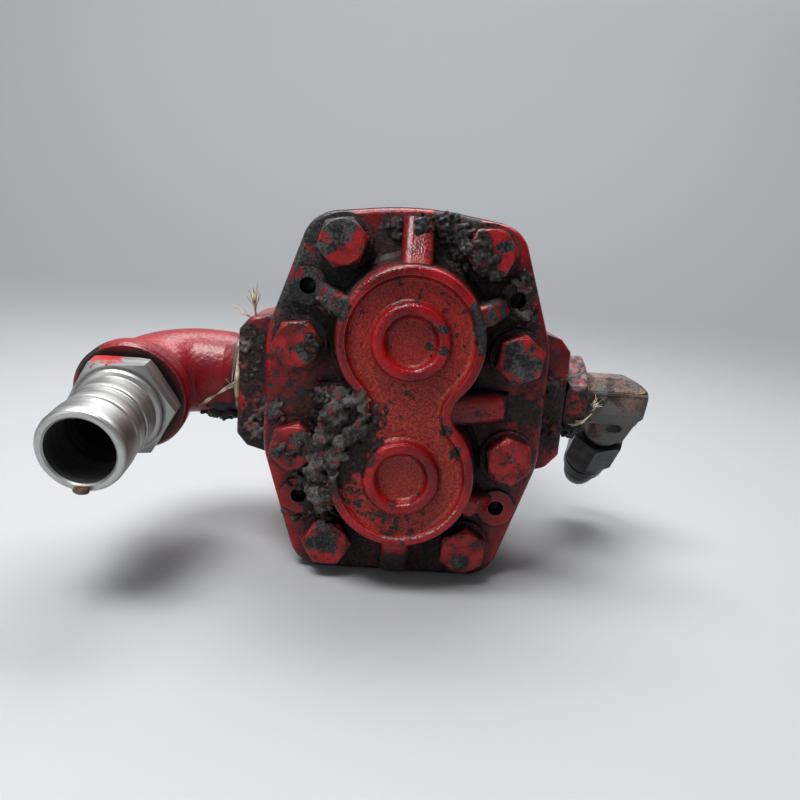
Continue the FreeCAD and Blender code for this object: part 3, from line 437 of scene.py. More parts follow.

# %% [markdown]
# ## Red enamel on the castings
#
# The pump was painted red all over after it was assembled. On the raised figure of eight the sand grain
# shows through a dusty, orange-tinged coat. Lower down the paint is darker and wetter with oil. Where
# stones and spanners hit it, it has flaked to grey primer and iron, and grease full of road dust has
# filled the corners. The layers go on in this order: paint, flakes, bare edges, greyed places, a painted
# highlight along one arc of the rim, and last the packed dirt, which also carries painted shade in the
# corners and along the bottom.

# %% Dirt places on the castings, with painted shade along the bottom
COVER_DIRT_AND_SHADE = [
    ((0.30, 0.17, 0.43), 0.019),
    ((0.23, 0.32, 0.32), 0.020),
    ((0.21, 0.46, 0.20), 0.014),
    ((0.28, 0.34, 0.50), 0.014),
    ((0.12, 0.63, 0.74), 0.010),
    ((0.16, 0.66, 0.94), 0.011),
    ((0.63, 0.68, 0.95), 0.015),
    ((0.68, 0.63, 0.88), 0.012),
    ((0.42, 0.68, 0.94), 0.008),
    ((0.85, 0.63, 0.82), 0.012),
    ((0.88, 0.63, 0.74), 0.010),
    ((0.27, 0.07, 0.75), 0.005),
    ((0.72, 0.05, 0.76), 0.006),
    ((0.74, 0.05, 0.69), 0.006),
    ((0.35, 0.10, 0.36), 0.008),
    ((0.63, 0.05, 0.46), 0.004),
    ((0.67, 0.07, 0.40), 0.004),
    ((0.92, 0.68, 0.49), 0.009),
    # The last three darken the bottom of the plate: dirt and painted shade along its lower edge.
    ((0.50, 0.46, 0.05), 0.012),
    ((0.67, 0.68, 0.05), 0.013),
    ((0.33, 0.68, 0.05), 0.013),
]
LOWER_AXIS = (0.50, 0.50, 0.326)
HIGHLIGHT_ARC = (0.60, 0.07, 0.19)
GREY_PLACES = [
    ((0.14, 0.68, 0.84), 0.036),
    ((0.21, 0.41, 0.75), 0.013),
    ((0.79, 0.32, 0.77), 0.011),
    ((0.73, 0.07, 0.72), 0.005),
]
HOUSING_DIRT = [
    ((0.02, 0.07, 0.57), 0.020),
    ((0.05, 0.07, 0.38), 0.016),
    ((0.97, 0.07, 0.47), 0.022),
]
print("dirt lies in", len(COVER_DIRT_AND_SHADE) + len(HOUSING_DIRT), "places;", len(GREY_PLACES), "have gone grey")

# %% [markdown]
# ### The enamel, layer by layer
#
# Each block below adds one chapter. The places come from the tables above, and the few levels that follow
# are metres in the pump's frame: how far out the sunk floor and the rim of the figure of eight lie, and
# where the painted highlight arc runs round the lower shaft's axis.

# %% Casting enamel
SUNK_FLOOR = (-0.1475, -0.1500)
RIM_START = (-0.1545, -0.1518)
UPPER_TO_LOWER = (0.030, -0.040)
HIGHLIGHT_INSIDE = (0.0305, 0.0309)
HIGHLIGHT_OUTSIDE = (0.0317, 0.0313)
PLATE_TO_RIM = (-0.1520, -0.1470)


def make_casting_enamel():
    made, tree, shader, where = start("casting_enamel")
    sand = place(tree, "cast_sand", Vector=where, Grain=1150.0)
    parts = put(tree, "ShaderNodeSeparateXYZ", {"Vector": where}).outputs

    # Paint: deep and wet on the plate, dusty orange-red on the raised floor.
    cloud = cloudy(tree, where, 38.0, 5.0)
    wet = two_tones(tree, ramp(tree, cloud, 0.34, 0.66), (0.13, 0.003, 0.006), (0.37, 0.007, 0.012))
    dusty = two_tones(tree, sand["Tone"], (0.19, 0.009, 0.008), (0.40, 0.046, 0.026))
    edge = maths(tree, "ADD", parts["Y"], maths(tree, "MULTIPLY", cloud, 0.005))
    on_floor = maths(tree, "MULTIPLY", ramp(tree, edge, *SUNK_FLOOR),
                     ramp(tree, edge, *RIM_START))
    low_half = ramp(tree, parts["Z"], *UPPER_TO_LOWER)
    dusty_mask = maths(tree, "MULTIPLY", on_floor,
                       maths(tree, "ADD", maths(tree, "MULTIPLY", low_half, 0.35), 0.6))
    layers = place(tree, "over", Colour=wet, Roughness=0.22, Height=sand["Height"], Top_Colour=dusty,
                   Top_Roughness=0.42, Top_Height=maths(tree, "MULTIPLY", sand["Height"], 1.25),
                   Mask=dusty_mask)

    # Flakes down to primer and iron, in drifts.
    drift = cloudy(tree, where, 24.0, 1.0)
    bias = maths(tree, "MULTIPLY", maths(tree, "SUBTRACT", drift, 0.5), 0.35)
    flaked = place(tree, "patches", Vector=where, Scale=190.0, Level=0.62, Softness=0.02, Bias=bias)["Mask"]
    iron = two_tones(tree, sand["Tone"], (0.007, 0.006, 0.007), (0.050, 0.046, 0.046))
    low = maths(tree, "SUBTRACT", sand["Height"], 0.45)
    layers = cover(tree, layers, Top_Colour=iron, Top_Roughness=0.42, Top_Height=low, Mask=flaked)
    rubbed = place(tree, "rubbed_edges", Vector=where, Width=0.0009, Amount=0.9)["Mask"]
    bare = two_tones(tree, cloud, (0.06, 0.030, 0.030), (0.42, 0.34, 0.33))
    layers = cover(tree, layers, Top_Colour=bare, Top_Roughness=0.36, Top_Height=low,
                   Mask=maths(tree, "MULTIPLY", rubbed, 0.7))

    # The upper left of the plate has lost its gloss and gone grey.
    grey_spots = [place(tree, "spot", Vector=where, Centre=within("rear_cover", share), Radius=radius,
                        Ragged=0.55)["Mask"] for share, radius in GREY_PLACES]
    faded = highest(tree, grey_spots)
    broken = place(tree, "patches", Vector=where, Scale=210.0, Level=0.40, Softness=0.03)["Mask"]
    ash = two_tones(tree, sand["Tone"], (0.010, 0.009, 0.010), (0.085, 0.078, 0.078))
    layers = cover(tree, layers, Top_Colour=ash, Top_Roughness=0.55, Top_Height=layers["Height"],
                   Mask=maths(tree, "MULTIPLY", faded, broken))

    # A grey-white highlight is painted along one arc of the lower lobe's inner rim, where the step faces up
    # to the light.
    middle = (0, 0, within("rear_cover", LOWER_AXIS)[2])
    flat = put(tree, "ShaderNodeCombineXYZ", {"X": parts["X"], "Z": parts["Z"]}).outputs[0]
    reach = put(tree, "ShaderNodeVectorMath", {0: flat, 1: middle}, operation="DISTANCE").outputs["Value"]
    band = maths(tree, "MULTIPLY", ramp(tree, reach, *HIGHLIGHT_INSIDE), ramp(tree, reach, *HIGHLIGHT_OUTSIDE))
    arc = place(tree, "spot", Vector=where, Centre=within("rear_cover", HIGHLIGHT_ARC), Radius=0.021,
                Ragged=0.5)["Mask"]
    wear_and_highlight = maths(tree, "MULTIPLY", maths(tree, "MULTIPLY", band, arc), ramp(tree, sand["Tone"], 0.1, 0.5))
    layers = cover(tree, layers, Top_Colour=(0.33, 0.31, 0.31, 1), Top_Roughness=0.35, Top_Height=low,
                   Mask=wear_and_highlight)

    # Greasy dirt where it always gathers, and a near-black layer in the corners, the crevices and along the
    # bottom of the plate that is dirt and painted shade together.
    dirt_and_shade_places = [(within("rear_cover", share), radius) for share, radius in COVER_DIRT_AND_SHADE]
    dirt_and_shade_places += [(within("gear_housing", share), radius) for share, radius in HOUSING_DIRT]
    spots = [place(tree, "spot", Vector=where, Centre=centre, Radius=radius, Ragged=0.6)["Mask"]
             for centre, radius in dirt_and_shade_places]
    shaded_corners = place(tree, "hollows", Vector=where, Reach=0.016, Amount=1.15)["Mask"]
    shaded_corners = maths(tree, "MULTIPLY", shaded_corners, ramp(tree, parts["Y"], *PLATE_TO_RIM))
    shaded_crevices = place(tree, "hollows", Vector=where, Reach=0.003, Amount=0.75)["Mask"]
    grime_and_shade = highest(tree, spots + [shaded_corners, shaded_crevices])
    lumps = put(tree, "ShaderNodeTexNoise",
                {"Vector": where, "Scale": 520.0, "Detail": 7.0, "Roughness": 0.72})
    lumps = lumps.outputs["Fac"]
    dirt_and_shade = two_tones(tree, ramp(tree, lumps, 0.44, 0.74), (0.003, 0.003, 0.003), (0.080, 0.073, 0.072))
    heap = maths(tree, "ADD", maths(tree, "MULTIPLY", lumps, 2.4), 0.3)
    wetness = ramp(tree, lumps, 0.30, 0.75)
    dirt_rough = maths(tree, "ADD", maths(tree, "MULTIPLY", wetness, 0.4), 0.20)
    layers = cover(tree, layers, Top_Colour=dirt_and_shade, Top_Roughness=dirt_rough, Top_Height=heap,
                   Mask=maths(tree, "MULTIPLY", grime_and_shade, 0.95))
    close(tree, shader, layers, depth=0.0006, strength=0.85)
    shader.inputs["Coat Weight"].default_value = 0.12
    shader.inputs["Coat Roughness"].default_value = 0.12
    print(made.name, "has", len(tree.nodes), "nodes")
    return made


casting_enamel = make_casting_enamel()

# %% [markdown]
# ## Bolt heads
#
# The bolts were painted in place, and a spanner has since knocked most of the paint off some of them. The
# same layers are used, with steel beneath. Each knock is a spot of its own, so one head stays red while
# its neighbour is nearly bare.

# %% Bolt paint
BARE_BOLTS = [
    ((0.22, 0.00, 0.97), 0.0086),
    ((0.17, 0.00, 0.91), 0.0040),
    ((0.92, 0.00, 0.63), 0.0090),
    ((0.88, 0.00, 0.68), 0.0050),
    ((0.13, 0.00, 0.38), 0.0055),
    ((0.23, 0.00, 0.08), 0.0080),
    ((0.76, 0.00, 0.04), 0.0045),
    ((0.13, 0.00, 0.63), 0.0055),
    ((0.81, 0.00, 0.95), 0.0035),
]


def make_bolt_paint():
    made, tree, shader, where = start("bolt_paint")
    sand = place(tree, "cast_sand", Vector=where, Grain=1300.0)
    cloud = cloudy(tree, where, 160.0, 5.0)
    red = two_tones(tree, ramp(tree, cloud, 0.35, 0.65), (0.15, 0.006, 0.008), (0.38, 0.014, 0.016))
    fine = cloudy(tree, where, 620.0, 6.0)
    mixed = maths(tree, "ADD", maths(tree, "MULTIPLY", cloud, 0.45), maths(tree, "MULTIPLY", fine, 0.55))
    steel = two_tones(tree, ramp(tree, mixed, 0.42, 0.62), (0.004, 0.004, 0.005), (0.085, 0.080, 0.081))
    spots = [place(tree, "spot", Vector=where, Centre=within("cover_bolts", share), Radius=radius,
                   Ragged=0.9)["Mask"] for share, radius in BARE_BOLTS]
    chips = place(tree, "patches", Vector=where, Scale=300.0, Level=0.58, Softness=0.02)["Mask"]
    low = maths(tree, "SUBTRACT", sand["Height"], 0.5)
    layers = place(tree, "over", Colour=red, Roughness=0.28, Height=sand["Height"], Top_Colour=steel,
                   Top_Roughness=0.40, Top_Height=low, Mask=highest(tree, spots + [chips]))
    rubbed = place(tree, "rubbed_edges", Vector=where, Width=0.0007, Amount=1.0)["Mask"]
    layers = cover(tree, layers, Top_Colour=(0.26, 0.19, 0.19, 1), Top_Roughness=0.38, Top_Height=low,
                   Mask=maths(tree, "MULTIPLY", rubbed, 0.55))
    # Near-black painted shade where the heads meet the cover, mixed with dirt.
    shaded_corners = place(tree, "hollows", Vector=where, Reach=0.010, Amount=1.3)["Mask"]
    layers = cover(tree, layers, Top_Colour=(0.006, 0.005, 0.005, 1), Top_Roughness=0.5,
                   Top_Height=1.0, Mask=shaded_corners)
    close(tree, shader, layers, depth=0.0006, strength=0.85)
    shader.inputs["Coat Weight"].default_value = 0.1
    shader.inputs["Coat Roughness"].default_value = 0.2
    return made


bolt_paint = make_bolt_paint()
print("made", bolt_paint.name)

# %% [markdown]
# ## Pipe fittings
#
# The suction bend was fitted new and still has a clean gloss coat with the slight orange peel of thick
# enamel, dirty only round its bead and by the port, with painted shade in its corners. The hose tail is
# turned steel: fine rings round its axis, which dips ten degrees. The pressure elbow is a rusty forging,
# and its nut and nose are black with oil.

# %% Bend enamel
TAIL_AXIS_DIP = math.radians(10.1)


def make_bend_enamel():
    made, tree, shader, where = start("bend_enamel")
    peel = cloudy(tree, where, 480.0, 2.0)
    cloud = cloudy(tree, where, 40.0, 4.0)
    red = two_tones(tree, ramp(tree, cloud, 0.3, 0.7), (0.17, 0.005, 0.010), (0.31, 0.010, 0.018))
    # Near-black painted shade in the bend's corners, laid in one layer with the dirt at its neck and bead.
    shaded_corners = place(tree, "hollows", Vector=where, Reach=0.007, Amount=1.5)["Mask"]
    neck = place(tree, "spot", Vector=where, Centre=within("suction_elbow", (0.74, 0.57, 0.25)),
                 Radius=0.013, Ragged=0.6)["Mask"]
    bead = place(tree, "spot", Vector=where, Centre=within("suction_elbow", (0.08, 0.13, 0.86)),
                 Radius=0.012, Ragged=0.8)["Mask"]
    dirt_and_shade = highest(tree, [shaded_corners, neck, bead])
    layers = place(tree, "over", Colour=red, Roughness=0.36, Height=peel,
                   Top_Colour=(0.022, 0.016, 0.015, 1),
                   Top_Roughness=0.55, Top_Height=1.2, Mask=dirt_and_shade)
    scraped = place(tree, "rubbed_edges", Vector=where, Width=0.0012, Amount=1.0)["Mask"]
    layers = cover(tree, layers, Top_Colour=(0.30, 0.16, 0.15, 1), Top_Roughness=0.4,
                   Top_Height=0.2, Mask=scraped)
    close(tree, shader, layers, depth=0.0005, strength=0.8)
    shader.inputs["Coat Weight"].default_value = 0.12
    shader.inputs["Coat Roughness"].default_value = 0.25
    return made


bend_enamel = make_bend_enamel()
print("made", bend_enamel.name)

# %% [markdown]
# ### Hose tail
#
# The tail was turned on a lathe from zinc-plated bar, so its grooves run round an axis that dips with the
# bend. It is bare satin metal except for a few drips of red paint on the hexagon and painted shade in the
# corners, where the metal look is switched off.

# %% Turned steel of the hose tail
def make_turned_steel():
    made, tree, shader, where = start("turned_steel")
    rings = place(tree, "turned_rings", Vector=where, Turn=(-TAIL_AXIS_DIP, 0, 0), Pitch=2200.0)
    steel = two_tones(tree, rings["Tone"], (0.34, 0.34, 0.335), (0.52, 0.52, 0.51))
    blotch = place(tree, "patches", Vector=where, Scale=60.0, Level=0.52, Softness=0.2)["Mask"]
    layers = place(tree, "over", Colour=steel, Roughness=0.45, Height=rings["Height"],
                   Top_Colour=(0.30, 0.30, 0.285, 1), Top_Roughness=0.52, Top_Height=rings["Height"],
                   Mask=maths(tree, "MULTIPLY", blotch, 0.6))
    # A few drips of red paint on the hexagon, by the bend.
    painted = place(tree, "spot", Vector=where, Centre=within("hose_tail", (0.33, 0.68, 1.03)),
                    Radius=0.012, Ragged=0.8)["Mask"]
    shaded_corners = place(tree, "hollows", Vector=where, Reach=0.004, Amount=0.9)["Mask"]
    layers = cover(tree, layers, Top_Colour=(0.42, 0.03, 0.03, 1), Top_Roughness=0.35,
                   Top_Height=1.6, Mask=painted)
    # Dark painted shade in the corners, where the metal look is also switched off.
    layers = cover(tree, layers, Top_Colour=(0.05, 0.042, 0.036, 1), Top_Roughness=0.6, Top_Height=1.2,
                   Mask=maths(tree, "MULTIPLY", shaded_corners, 0.8))
    metal = maths(tree, "SUBTRACT", 1.0, highest(tree, [painted, shaded_corners]), clamp=True)
    tree.links.new(metal, shader.inputs["Metallic"])
    close(tree, shader, layers, depth=0.00006, strength=0.5)
    return made


turned_steel = make_turned_steel()
print("made", turned_steel.name)

# %% [markdown]
# ### Rust, black steel and the metals inside
#
# These metals differ only in tone, grain and how much crust they carry, so one function makes them all.
# The forged elbow has scaly grey patches over brown rust and one dark pit, the nut and nose are black
# with oil, and the shafts and bushes inside are clean. All of them get near-black painted shade in
# their corners.

# %% Rusty forging, adapter and black steel
def make_layered_metal(name, dark, light, rough, grain, crust, crust_rough, crust_level, depth,
                       metallic=0.0, spots=(), dark_spots=()):
    """Steel with a mottled skin, a second crust in patches, rubbed edges and painted shade in its corners,
    with dirt on the dirty pieces.
    """
    made, tree, shader, where = start(name)
    sand = place(tree, "cast_sand", Vector=where, Grain=grain)
    cloud = cloudy(tree, where, 120.0, 6.0)
    skin = two_tones(tree, ramp(tree, cloud, 0.35, 0.65), dark, light)
    masks = [place(tree, "patches", Vector=where, Scale=130.0, Level=crust_level, Softness=0.06)["Mask"]]
    masks += [place(tree, "spot", Vector=where, Centre=centre, Radius=radius,
                    Ragged=0.6)["Mask"] for centre, radius in spots]
    layers = place(tree, "over", Colour=skin, Roughness=rough, Height=sand["Height"],
                   Top_Colour=(*crust, 1), Top_Roughness=crust_rough,
                   Top_Height=maths(tree, "ADD", sand["Height"], 0.5), Mask=highest(tree, masks))
    rubbed = place(tree, "rubbed_edges", Vector=where, Width=0.0007, Amount=0.9)["Mask"]
    wear_and_highlight = tuple(min(1.0, 0.10 + 1.6 * value) for value in light)
    layers = cover(tree, layers, Top_Colour=(*wear_and_highlight, 1), Top_Roughness=0.35, Top_Height=0.4,
                   Mask=maths(tree, "MULTIPLY", rubbed, 0.6))
    # Near-black painted shade in the corners, with dirt where the piece is dirty, and the dark spots in the
    # same layer.
    masks = [place(tree, "hollows", Vector=where, Reach=0.006, Amount=1.1)["Mask"]]
    masks += [place(tree, "spot", Vector=where, Centre=centre, Radius=radius,
                    Ragged=0.3)["Mask"] for centre, radius in dark_spots]
    layers = cover(tree, layers, Top_Colour=(0.012, 0.011, 0.010, 1), Top_Roughness=0.6, Top_Height=1.0,
                   Mask=highest(tree, masks))
    close(tree, shader, layers, depth, 0.8)
    shader.inputs["Metallic"].default_value = metallic
    print("made", name)
    return made


RUST_SCALES = [((0.52, -0.07, 0.57), 0.012), ((0.80, 0.00, 0.53), 0.011), ((0.76, 0.32, 0.25), 0.014)]
FORGED_PIT = (0.70, 0.20, 0.45)

forged_rust = make_layered_metal(
    "forged_rust", dark=(0.050, 0.034, 0.028), light=(0.23, 0.150, 0.118), rough=0.5, grain=800.0,
    crust=(0.125, 0.120, 0.115), crust_rough=0.6, crust_level=0.52, depth=0.0007,
    spots=[(within("pressure_elbow", share), radius) for share, radius in RUST_SCALES],
    dark_spots=[(within("pressure_elbow", FORGED_PIT), 0.0048)])
black_steel = make_layered_metal(
    "black_steel", dark=(0.014, 0.014, 0.015), light=(0.060, 0.060, 0.064), rough=0.30, grain=1100.0,
    crust=(0.035, 0.030, 0.026), crust_rough=0.5, crust_level=0.58, depth=0.0004, metallic=0.4)
ground_steel = make_layered_metal(
    "ground_steel", dark=(0.40, 0.40, 0.40), light=(0.58, 0.58, 0.58), rough=0.28, grain=2200.0,
    crust=(0.22, 0.15, 0.10), crust_rough=0.5, crust_level=0.66, depth=0.00005, metallic=0.9)
bronze = make_layered_metal(
    "bearing_bronze", dark=(0.42, 0.26, 0.11), light=(0.62, 0.42, 0.20), rough=0.32, grain=2000.0,
    crust=(0.20, 0.12, 0.06), crust_rough=0.5, crust_level=0.64, depth=0.00005, metallic=0.9)

# %% [markdown]
# ### The adapter
#
# The top flats of this hexagon get a pale pink-grey painted highlight where the overhead light falls on
# them. The front is red under smears of grease, and the underside is painted near-black as shade. The
# height of a point decides which of the three it gets, with noise to break up the border.

# %% Adapter: painted highlight on top, red in front, painted shade and grease below
HIGHLIGHT_LEVEL = (-0.0260, -0.0230)
SHADE_LEVEL = (-0.0385, -0.0425)


def make_adapter_paint():
    made, tree, shader, where = start("adapter_paint")
    sand = place(tree, "cast_sand", Vector=where, Grain=1100.0)
    height = put(tree, "ShaderNodeSeparateXYZ", {"Vector": where}).outputs["Z"]
    cloud = cloudy(tree, where, 260.0, 6.0)
    # Pale pink-grey painted highlight on the top flats and near-black painted shade on the underside, set
    # by height; random black smears of grease join the shade.
    level = maths(tree, "ADD", height, maths(tree, "MULTIPLY", maths(tree, "SUBTRACT", cloud, 0.5), 0.016))
    red = two_tones(tree, cloud, (0.035, 0.006, 0.008), (0.34, 0.016, 0.024))
    top_highlight = two_tones(tree, ramp(tree, cloud, 0.40, 0.62), (0.27, 0.045, 0.062), (0.23, 0.195, 0.185))
    layers = place(tree, "over", Colour=red, Roughness=0.32, Height=sand["Height"], Top_Colour=top_highlight,
                   Top_Roughness=0.6, Top_Height=sand["Height"], Mask=ramp(tree, level, *HIGHLIGHT_LEVEL))
    smears = place(tree, "patches", Vector=where, Scale=230.0, Level=0.50, Softness=0.04)["Mask"]
    grease_and_shade = highest(tree, [ramp(tree, level, *SHADE_LEVEL), smears])
    layers = cover(tree, layers, Top_Colour=two_tones(tree, ramp(tree, cloud, 0.45, 0.75),
                                                      (0.006, 0.005, 0.005), (0.07, 0.06, 0.06)),
                   Top_Roughness=0.4, Top_Height=maths(tree, "MULTIPLY", cloud, 2.5), Mask=grease_and_shade)
    rubbed = place(tree, "rubbed_edges", Vector=where, Width=0.0007, Amount=0.9)["Mask"]
    layers = cover(tree, layers, Top_Colour=(0.012, 0.010, 0.010, 1), Top_Roughness=0.45, Top_Height=0.4,
                   Mask=maths(tree, "MULTIPLY", rubbed, 0.5))
    # Near-black painted shade in the corners, mixed with dirt.
    shaded_corners = place(tree, "hollows", Vector=where, Reach=0.006, Amount=1.1)["Mask"]
    layers = cover(tree, layers, Top_Colour=(0.008, 0.007, 0.007, 1), Top_Roughness=0.5,
                   Top_Height=1.0, Mask=shaded_corners)
    close(tree, shader, layers, depth=0.0005, strength=0.8)
    return made


adapter_paint = make_adapter_paint()
print("made", adapter_paint.name)

# %% [markdown]
# ### Rubber and hemp
#
# The seals are nitrile rubber, nearly black with a faint bloom. Hemp is straw-coloured and uneven along
# each fibre, with a little sheen.

# %% Rubber and hemp
def make_nitrile():
    made, tree, shader, where = start("nitrile")
    bloom = cloudy(tree, where, 150.0, 6.0)
    colour = two_tones(tree, bloom, (0.008, 0.008, 0.008), (0.030, 0.029, 0.028))
    layers = {"Colour": colour, "Roughness": ramp(tree, bloom, -0.6, 1.6), "Height": bloom}
    close(tree, shader, layers, depth=0.0001)
    return made


def make_hemp():
    made, tree, shader, where = start("hemp_fibre")
    along = cloudy(tree, where, 190.0, 5.0)
    colour = two_tones(tree, ramp(tree, along, 0.36, 0.66), (0.30, 0.21, 0.12), (0.74, 0.66, 0.50))
    layers = {"Colour": colour, "Roughness": ramp(tree, along, -1.2, 1.2), "Height": along}
    close(tree, shader, layers, depth=0.0002)
    shader.inputs["Sheen Weight"].default_value = 0.3
    return made


nitrile = make_nitrile()
hemp_fibre = make_hemp()
print("made", nitrile.name, "and", hemp_fibre.name)

# %% [markdown]
# ## Dressing the engineering nodes
#
# The meshes are never touched, only their material slots. Each node is matched with the finish of the
# real piece, down to the bushes and seals that only show when the pump is opened.

# %% Give every node its finish
FINISHES = {
    casting_enamel: ["rear_cover", "gear_housing", "front_cover"],
    bolt_paint: ["cover_bolts"],
    bend_enamel: ["suction_elbow"],
    turned_steel: ["hose_tail"],
    forged_rust: ["pressure_elbow"],
    adapter_paint: ["pressure_adapter"],
    black_steel: ["union_nut", "outlet_nipple", "seal_circlip"],
    ground_steel: ["drive_gear_shaft", "driven_gear_shaft", "rear_dowel_pins", "front_dowel_pins",
                   "seal_spacer"],
    bronze: ["rear_drive_bush", "rear_driven_bush", "front_drive_bush", "front_driven_bush",
             "rear_thrust_plate", "front_thrust_plate"],
    nitrile: ["rear_body_seal", "front_body_seal", "rear_plate_seal", "front_plate_seal",
              "inner_shaft_seal", "outer_shaft_seal"],
    hemp_fibre: ["inlet_hemp", "outlet_hemp"],
}

for finish, names in FINISHES.items():
    for name in names:
        slots = NODES[name].data.materials
        slots.clear()
        slots.append(finish)
print("dressed", sum(len(names) for names in FINISHES.values()), "of", len(NODES), "nodes")

# %% [markdown]
# ## Crusts of dirt
#
# Years of oil mist and road dust have built up crusts as thick as a finger beside the figure of eight,
# lumps of tar over one bolt, and crumbs on the ledges. Each crust starts as many small balls dropped on
# the casting, like handfuls of wet soil. They are joined, melted into one skin by a voxel remesh, and
# roughened by three textures, for broad lumps, crumbs and grit. A thick crust is also smoothed first, as
# if it had slumped.

# %% Crust material
def make_crust(name, dark, light, rough, shine, redness):
    made, tree, shader, where = start(name)
    crumbs = put(tree, "ShaderNodeTexNoise",
                 {"Vector": where, "Scale": 1300.0, "Detail": 7.0, "Roughness": 0.75})
    crumbs = crumbs.outputs["Fac"]
    broad = cloudy(tree, where, 150.0, 5.0)
    shade = maths(tree, "ADD", maths(tree, "MULTIPLY", crumbs, 0.55), maths(tree, "MULTIPLY", broad, 0.45))
    colour = two_tones(tree, ramp(tree, shade, 0.40, 0.66), dark, light)
    red_dust = place(tree, "patches", Vector=where, Scale=190.0, Level=0.56, Softness=0.05)["Mask"]
    layers = place(tree, "over", Colour=colour, Roughness=rough, Height=maths(tree, "ADD", crumbs, broad),
                   Top_Colour=(0.24, 0.022, 0.024, 1), Top_Roughness=0.36, Top_Height=crumbs,
                   Mask=maths(tree, "MULTIPLY", red_dust, redness))
    # Near-black painted shade in the valleys between the crumbs.
    shaded_valleys = place(tree, "hollows", Vector=where, Reach=0.003, Amount=0.9)["Mask"]
    layers = cover(tree, layers, Top_Colour=(0.004, 0.004, 0.004, 1), Top_Roughness=0.5, Top_Height=0.4,
                   Mask=maths(tree, "MULTIPLY", shaded_valleys, 0.6))
    close(tree, shader, layers, depth=0.0011, strength=0.9)
    shader.inputs["Coat Weight"].default_value = shine
    shader.inputs["Coat Roughness"].default_value = 0.18
    return made


dry_crust = make_crust("dry_crust", (0.014, 0.012, 0.012), (0.230, 0.205, 0.200), 0.55, 0.0, 0.8)
wet_tar = make_crust("wet_tar", (0.003, 0.003, 0.003), (0.050, 0.048, 0.048), 0.32, 0.15, 0.25)
print("made", dry_crust.name, "and", wet_tar.name)

# %% [markdown]
# ### How a crust is laid
#
# A ball keeps to the surface because it is thrown along a line until it lands, and one that lands too far
# from its heap is lost. Heaps are given as shares of a part's box, with how far the balls scatter, how
# many there are and how big they get. Balls in the middle of a heap are the largest, so each heap is a
# mound. Every crust has its own seed.

# %% Dropping crumbs on the casting
def landing(point, way, targets):
    """Where a crumb thrown from point along way first meets one of the targets, or None."""
    point = mathutils.Vector(point)
    best = None
    for name in targets:
        found, hit, _, _ = NODES[name].ray_cast(point, mathutils.Vector(way))
        if found and (best is None or (hit - point).length < (best - point).length):
            best = hit
    return best


THROW = 0.06
STRAY = 0.022
CRUMB_TEXTURES = {}
for label, kind, grain_size in (("big_lumps", "CLOUDS", 0.0055), ("crumbs", "VORONOI", 0.0026),
                                ("grit", "CLOUDS", 0.0010)):
    CRUMB_TEXTURES[label] = bpy.data.textures.new(label, kind)
    CRUMB_TEXTURES[label].noise_scale = grain_size
print("textures for roughening:", list(CRUMB_TEXTURES))


def crust(name, node, heaps, finish, slot_name, seed, way=(0, 1, 0), targets=("rear_cover", "cover_bolts"),
          grain=0.0007, rough=0.0030, fill=False):
    """A crust of many balls. With fill, the balls also bridge the gap beside a wall.

    heaps holds (share of the node's box, spread, number of balls, smallest and largest radius).
    """
    draw = random.Random(seed)
    balls = []
    backwards = mathutils.Vector(way) * -THROW
    along = mathutils.Vector(way)
    for share, spread, count, small, large in heaps:
        centre = mathutils.Vector(within(node, share))
        for _ in range(count):
            shift = mathutils.Vector([draw.gauss(0, spread) for _ in range(3)])
            shift -= along * shift.dot(along)
            away = shift.length / (2.2 * spread)
            if away > 1:
                continue
            size = (small + (large - small) * (1 - away)) * draw.uniform(0.8, 1.15)
            hit = landing(centre + shift + backwards, way, targets)
            if hit is None or (hit - centre).length > STRAY:
                continue
            if fill:
                hit.y = min(hit.y, centre.y + draw.uniform(0, 0.006))
            nothing_selected()
            bpy.ops.mesh.primitive_ico_sphere_add(subdivisions=2, radius=size,
                                                  location=hit - along * size * 0.1)
            ball = bpy.context.object
            bpy.ops.transform.resize(value=(draw.uniform(0.8, 1.4), draw.uniform(0.6, 0.9),
                                            draw.uniform(0.8, 1.4)))
            balls.append(ball)
    nothing_selected()
    for ball in balls:
        ball.select_set(True)
    bpy.context.view_layer.objects.active = balls[0]
    bpy.ops.object.join()
    piece = bpy.context.object
    piece.name = name
    piece.data.name = name
    bpy.ops.object.transform_apply(location=True, rotation=True, scale=True)
    melt = piece.modifiers.new("melt", "REMESH")
    melt.mode = "VOXEL"
    melt.voxel_size = grain
    bpy.ops.object.modifier_apply(modifier="melt")
    if fill:
        slump = piece.modifiers.new("slump", "SMOOTH")
        slump.factor = 0.6
        slump.iterations = 12
        bpy.ops.object.modifier_apply(modifier="slump")
    for label, strength in (("big_lumps", rough), ("crumbs", -rough * 0.7), ("grit", rough * 0.3)):
        push = piece.modifiers.new(label, "DISPLACE")
        push.texture = CRUMB_TEXTURES[label]
        push.texture_coords = "LOCAL"
        push.strength = strength
        push.mid_level = 0.5
        bpy.ops.object.modifier_apply(modifier=label)
    bpy.ops.object.shade_smooth()
    piece.data.materials.clear()
    piece.data.materials.append(finish)
    return settle(piece, "pump")

# %% [markdown]
# ### The thick crust
#
# Oil seeps from the joint, creeps down the left wall of the lower lobe and holds dust, so the crust is
# thickest in the waist and follows the wall down to the lowest bolts. A thinner one lies over the rim
# beside it.

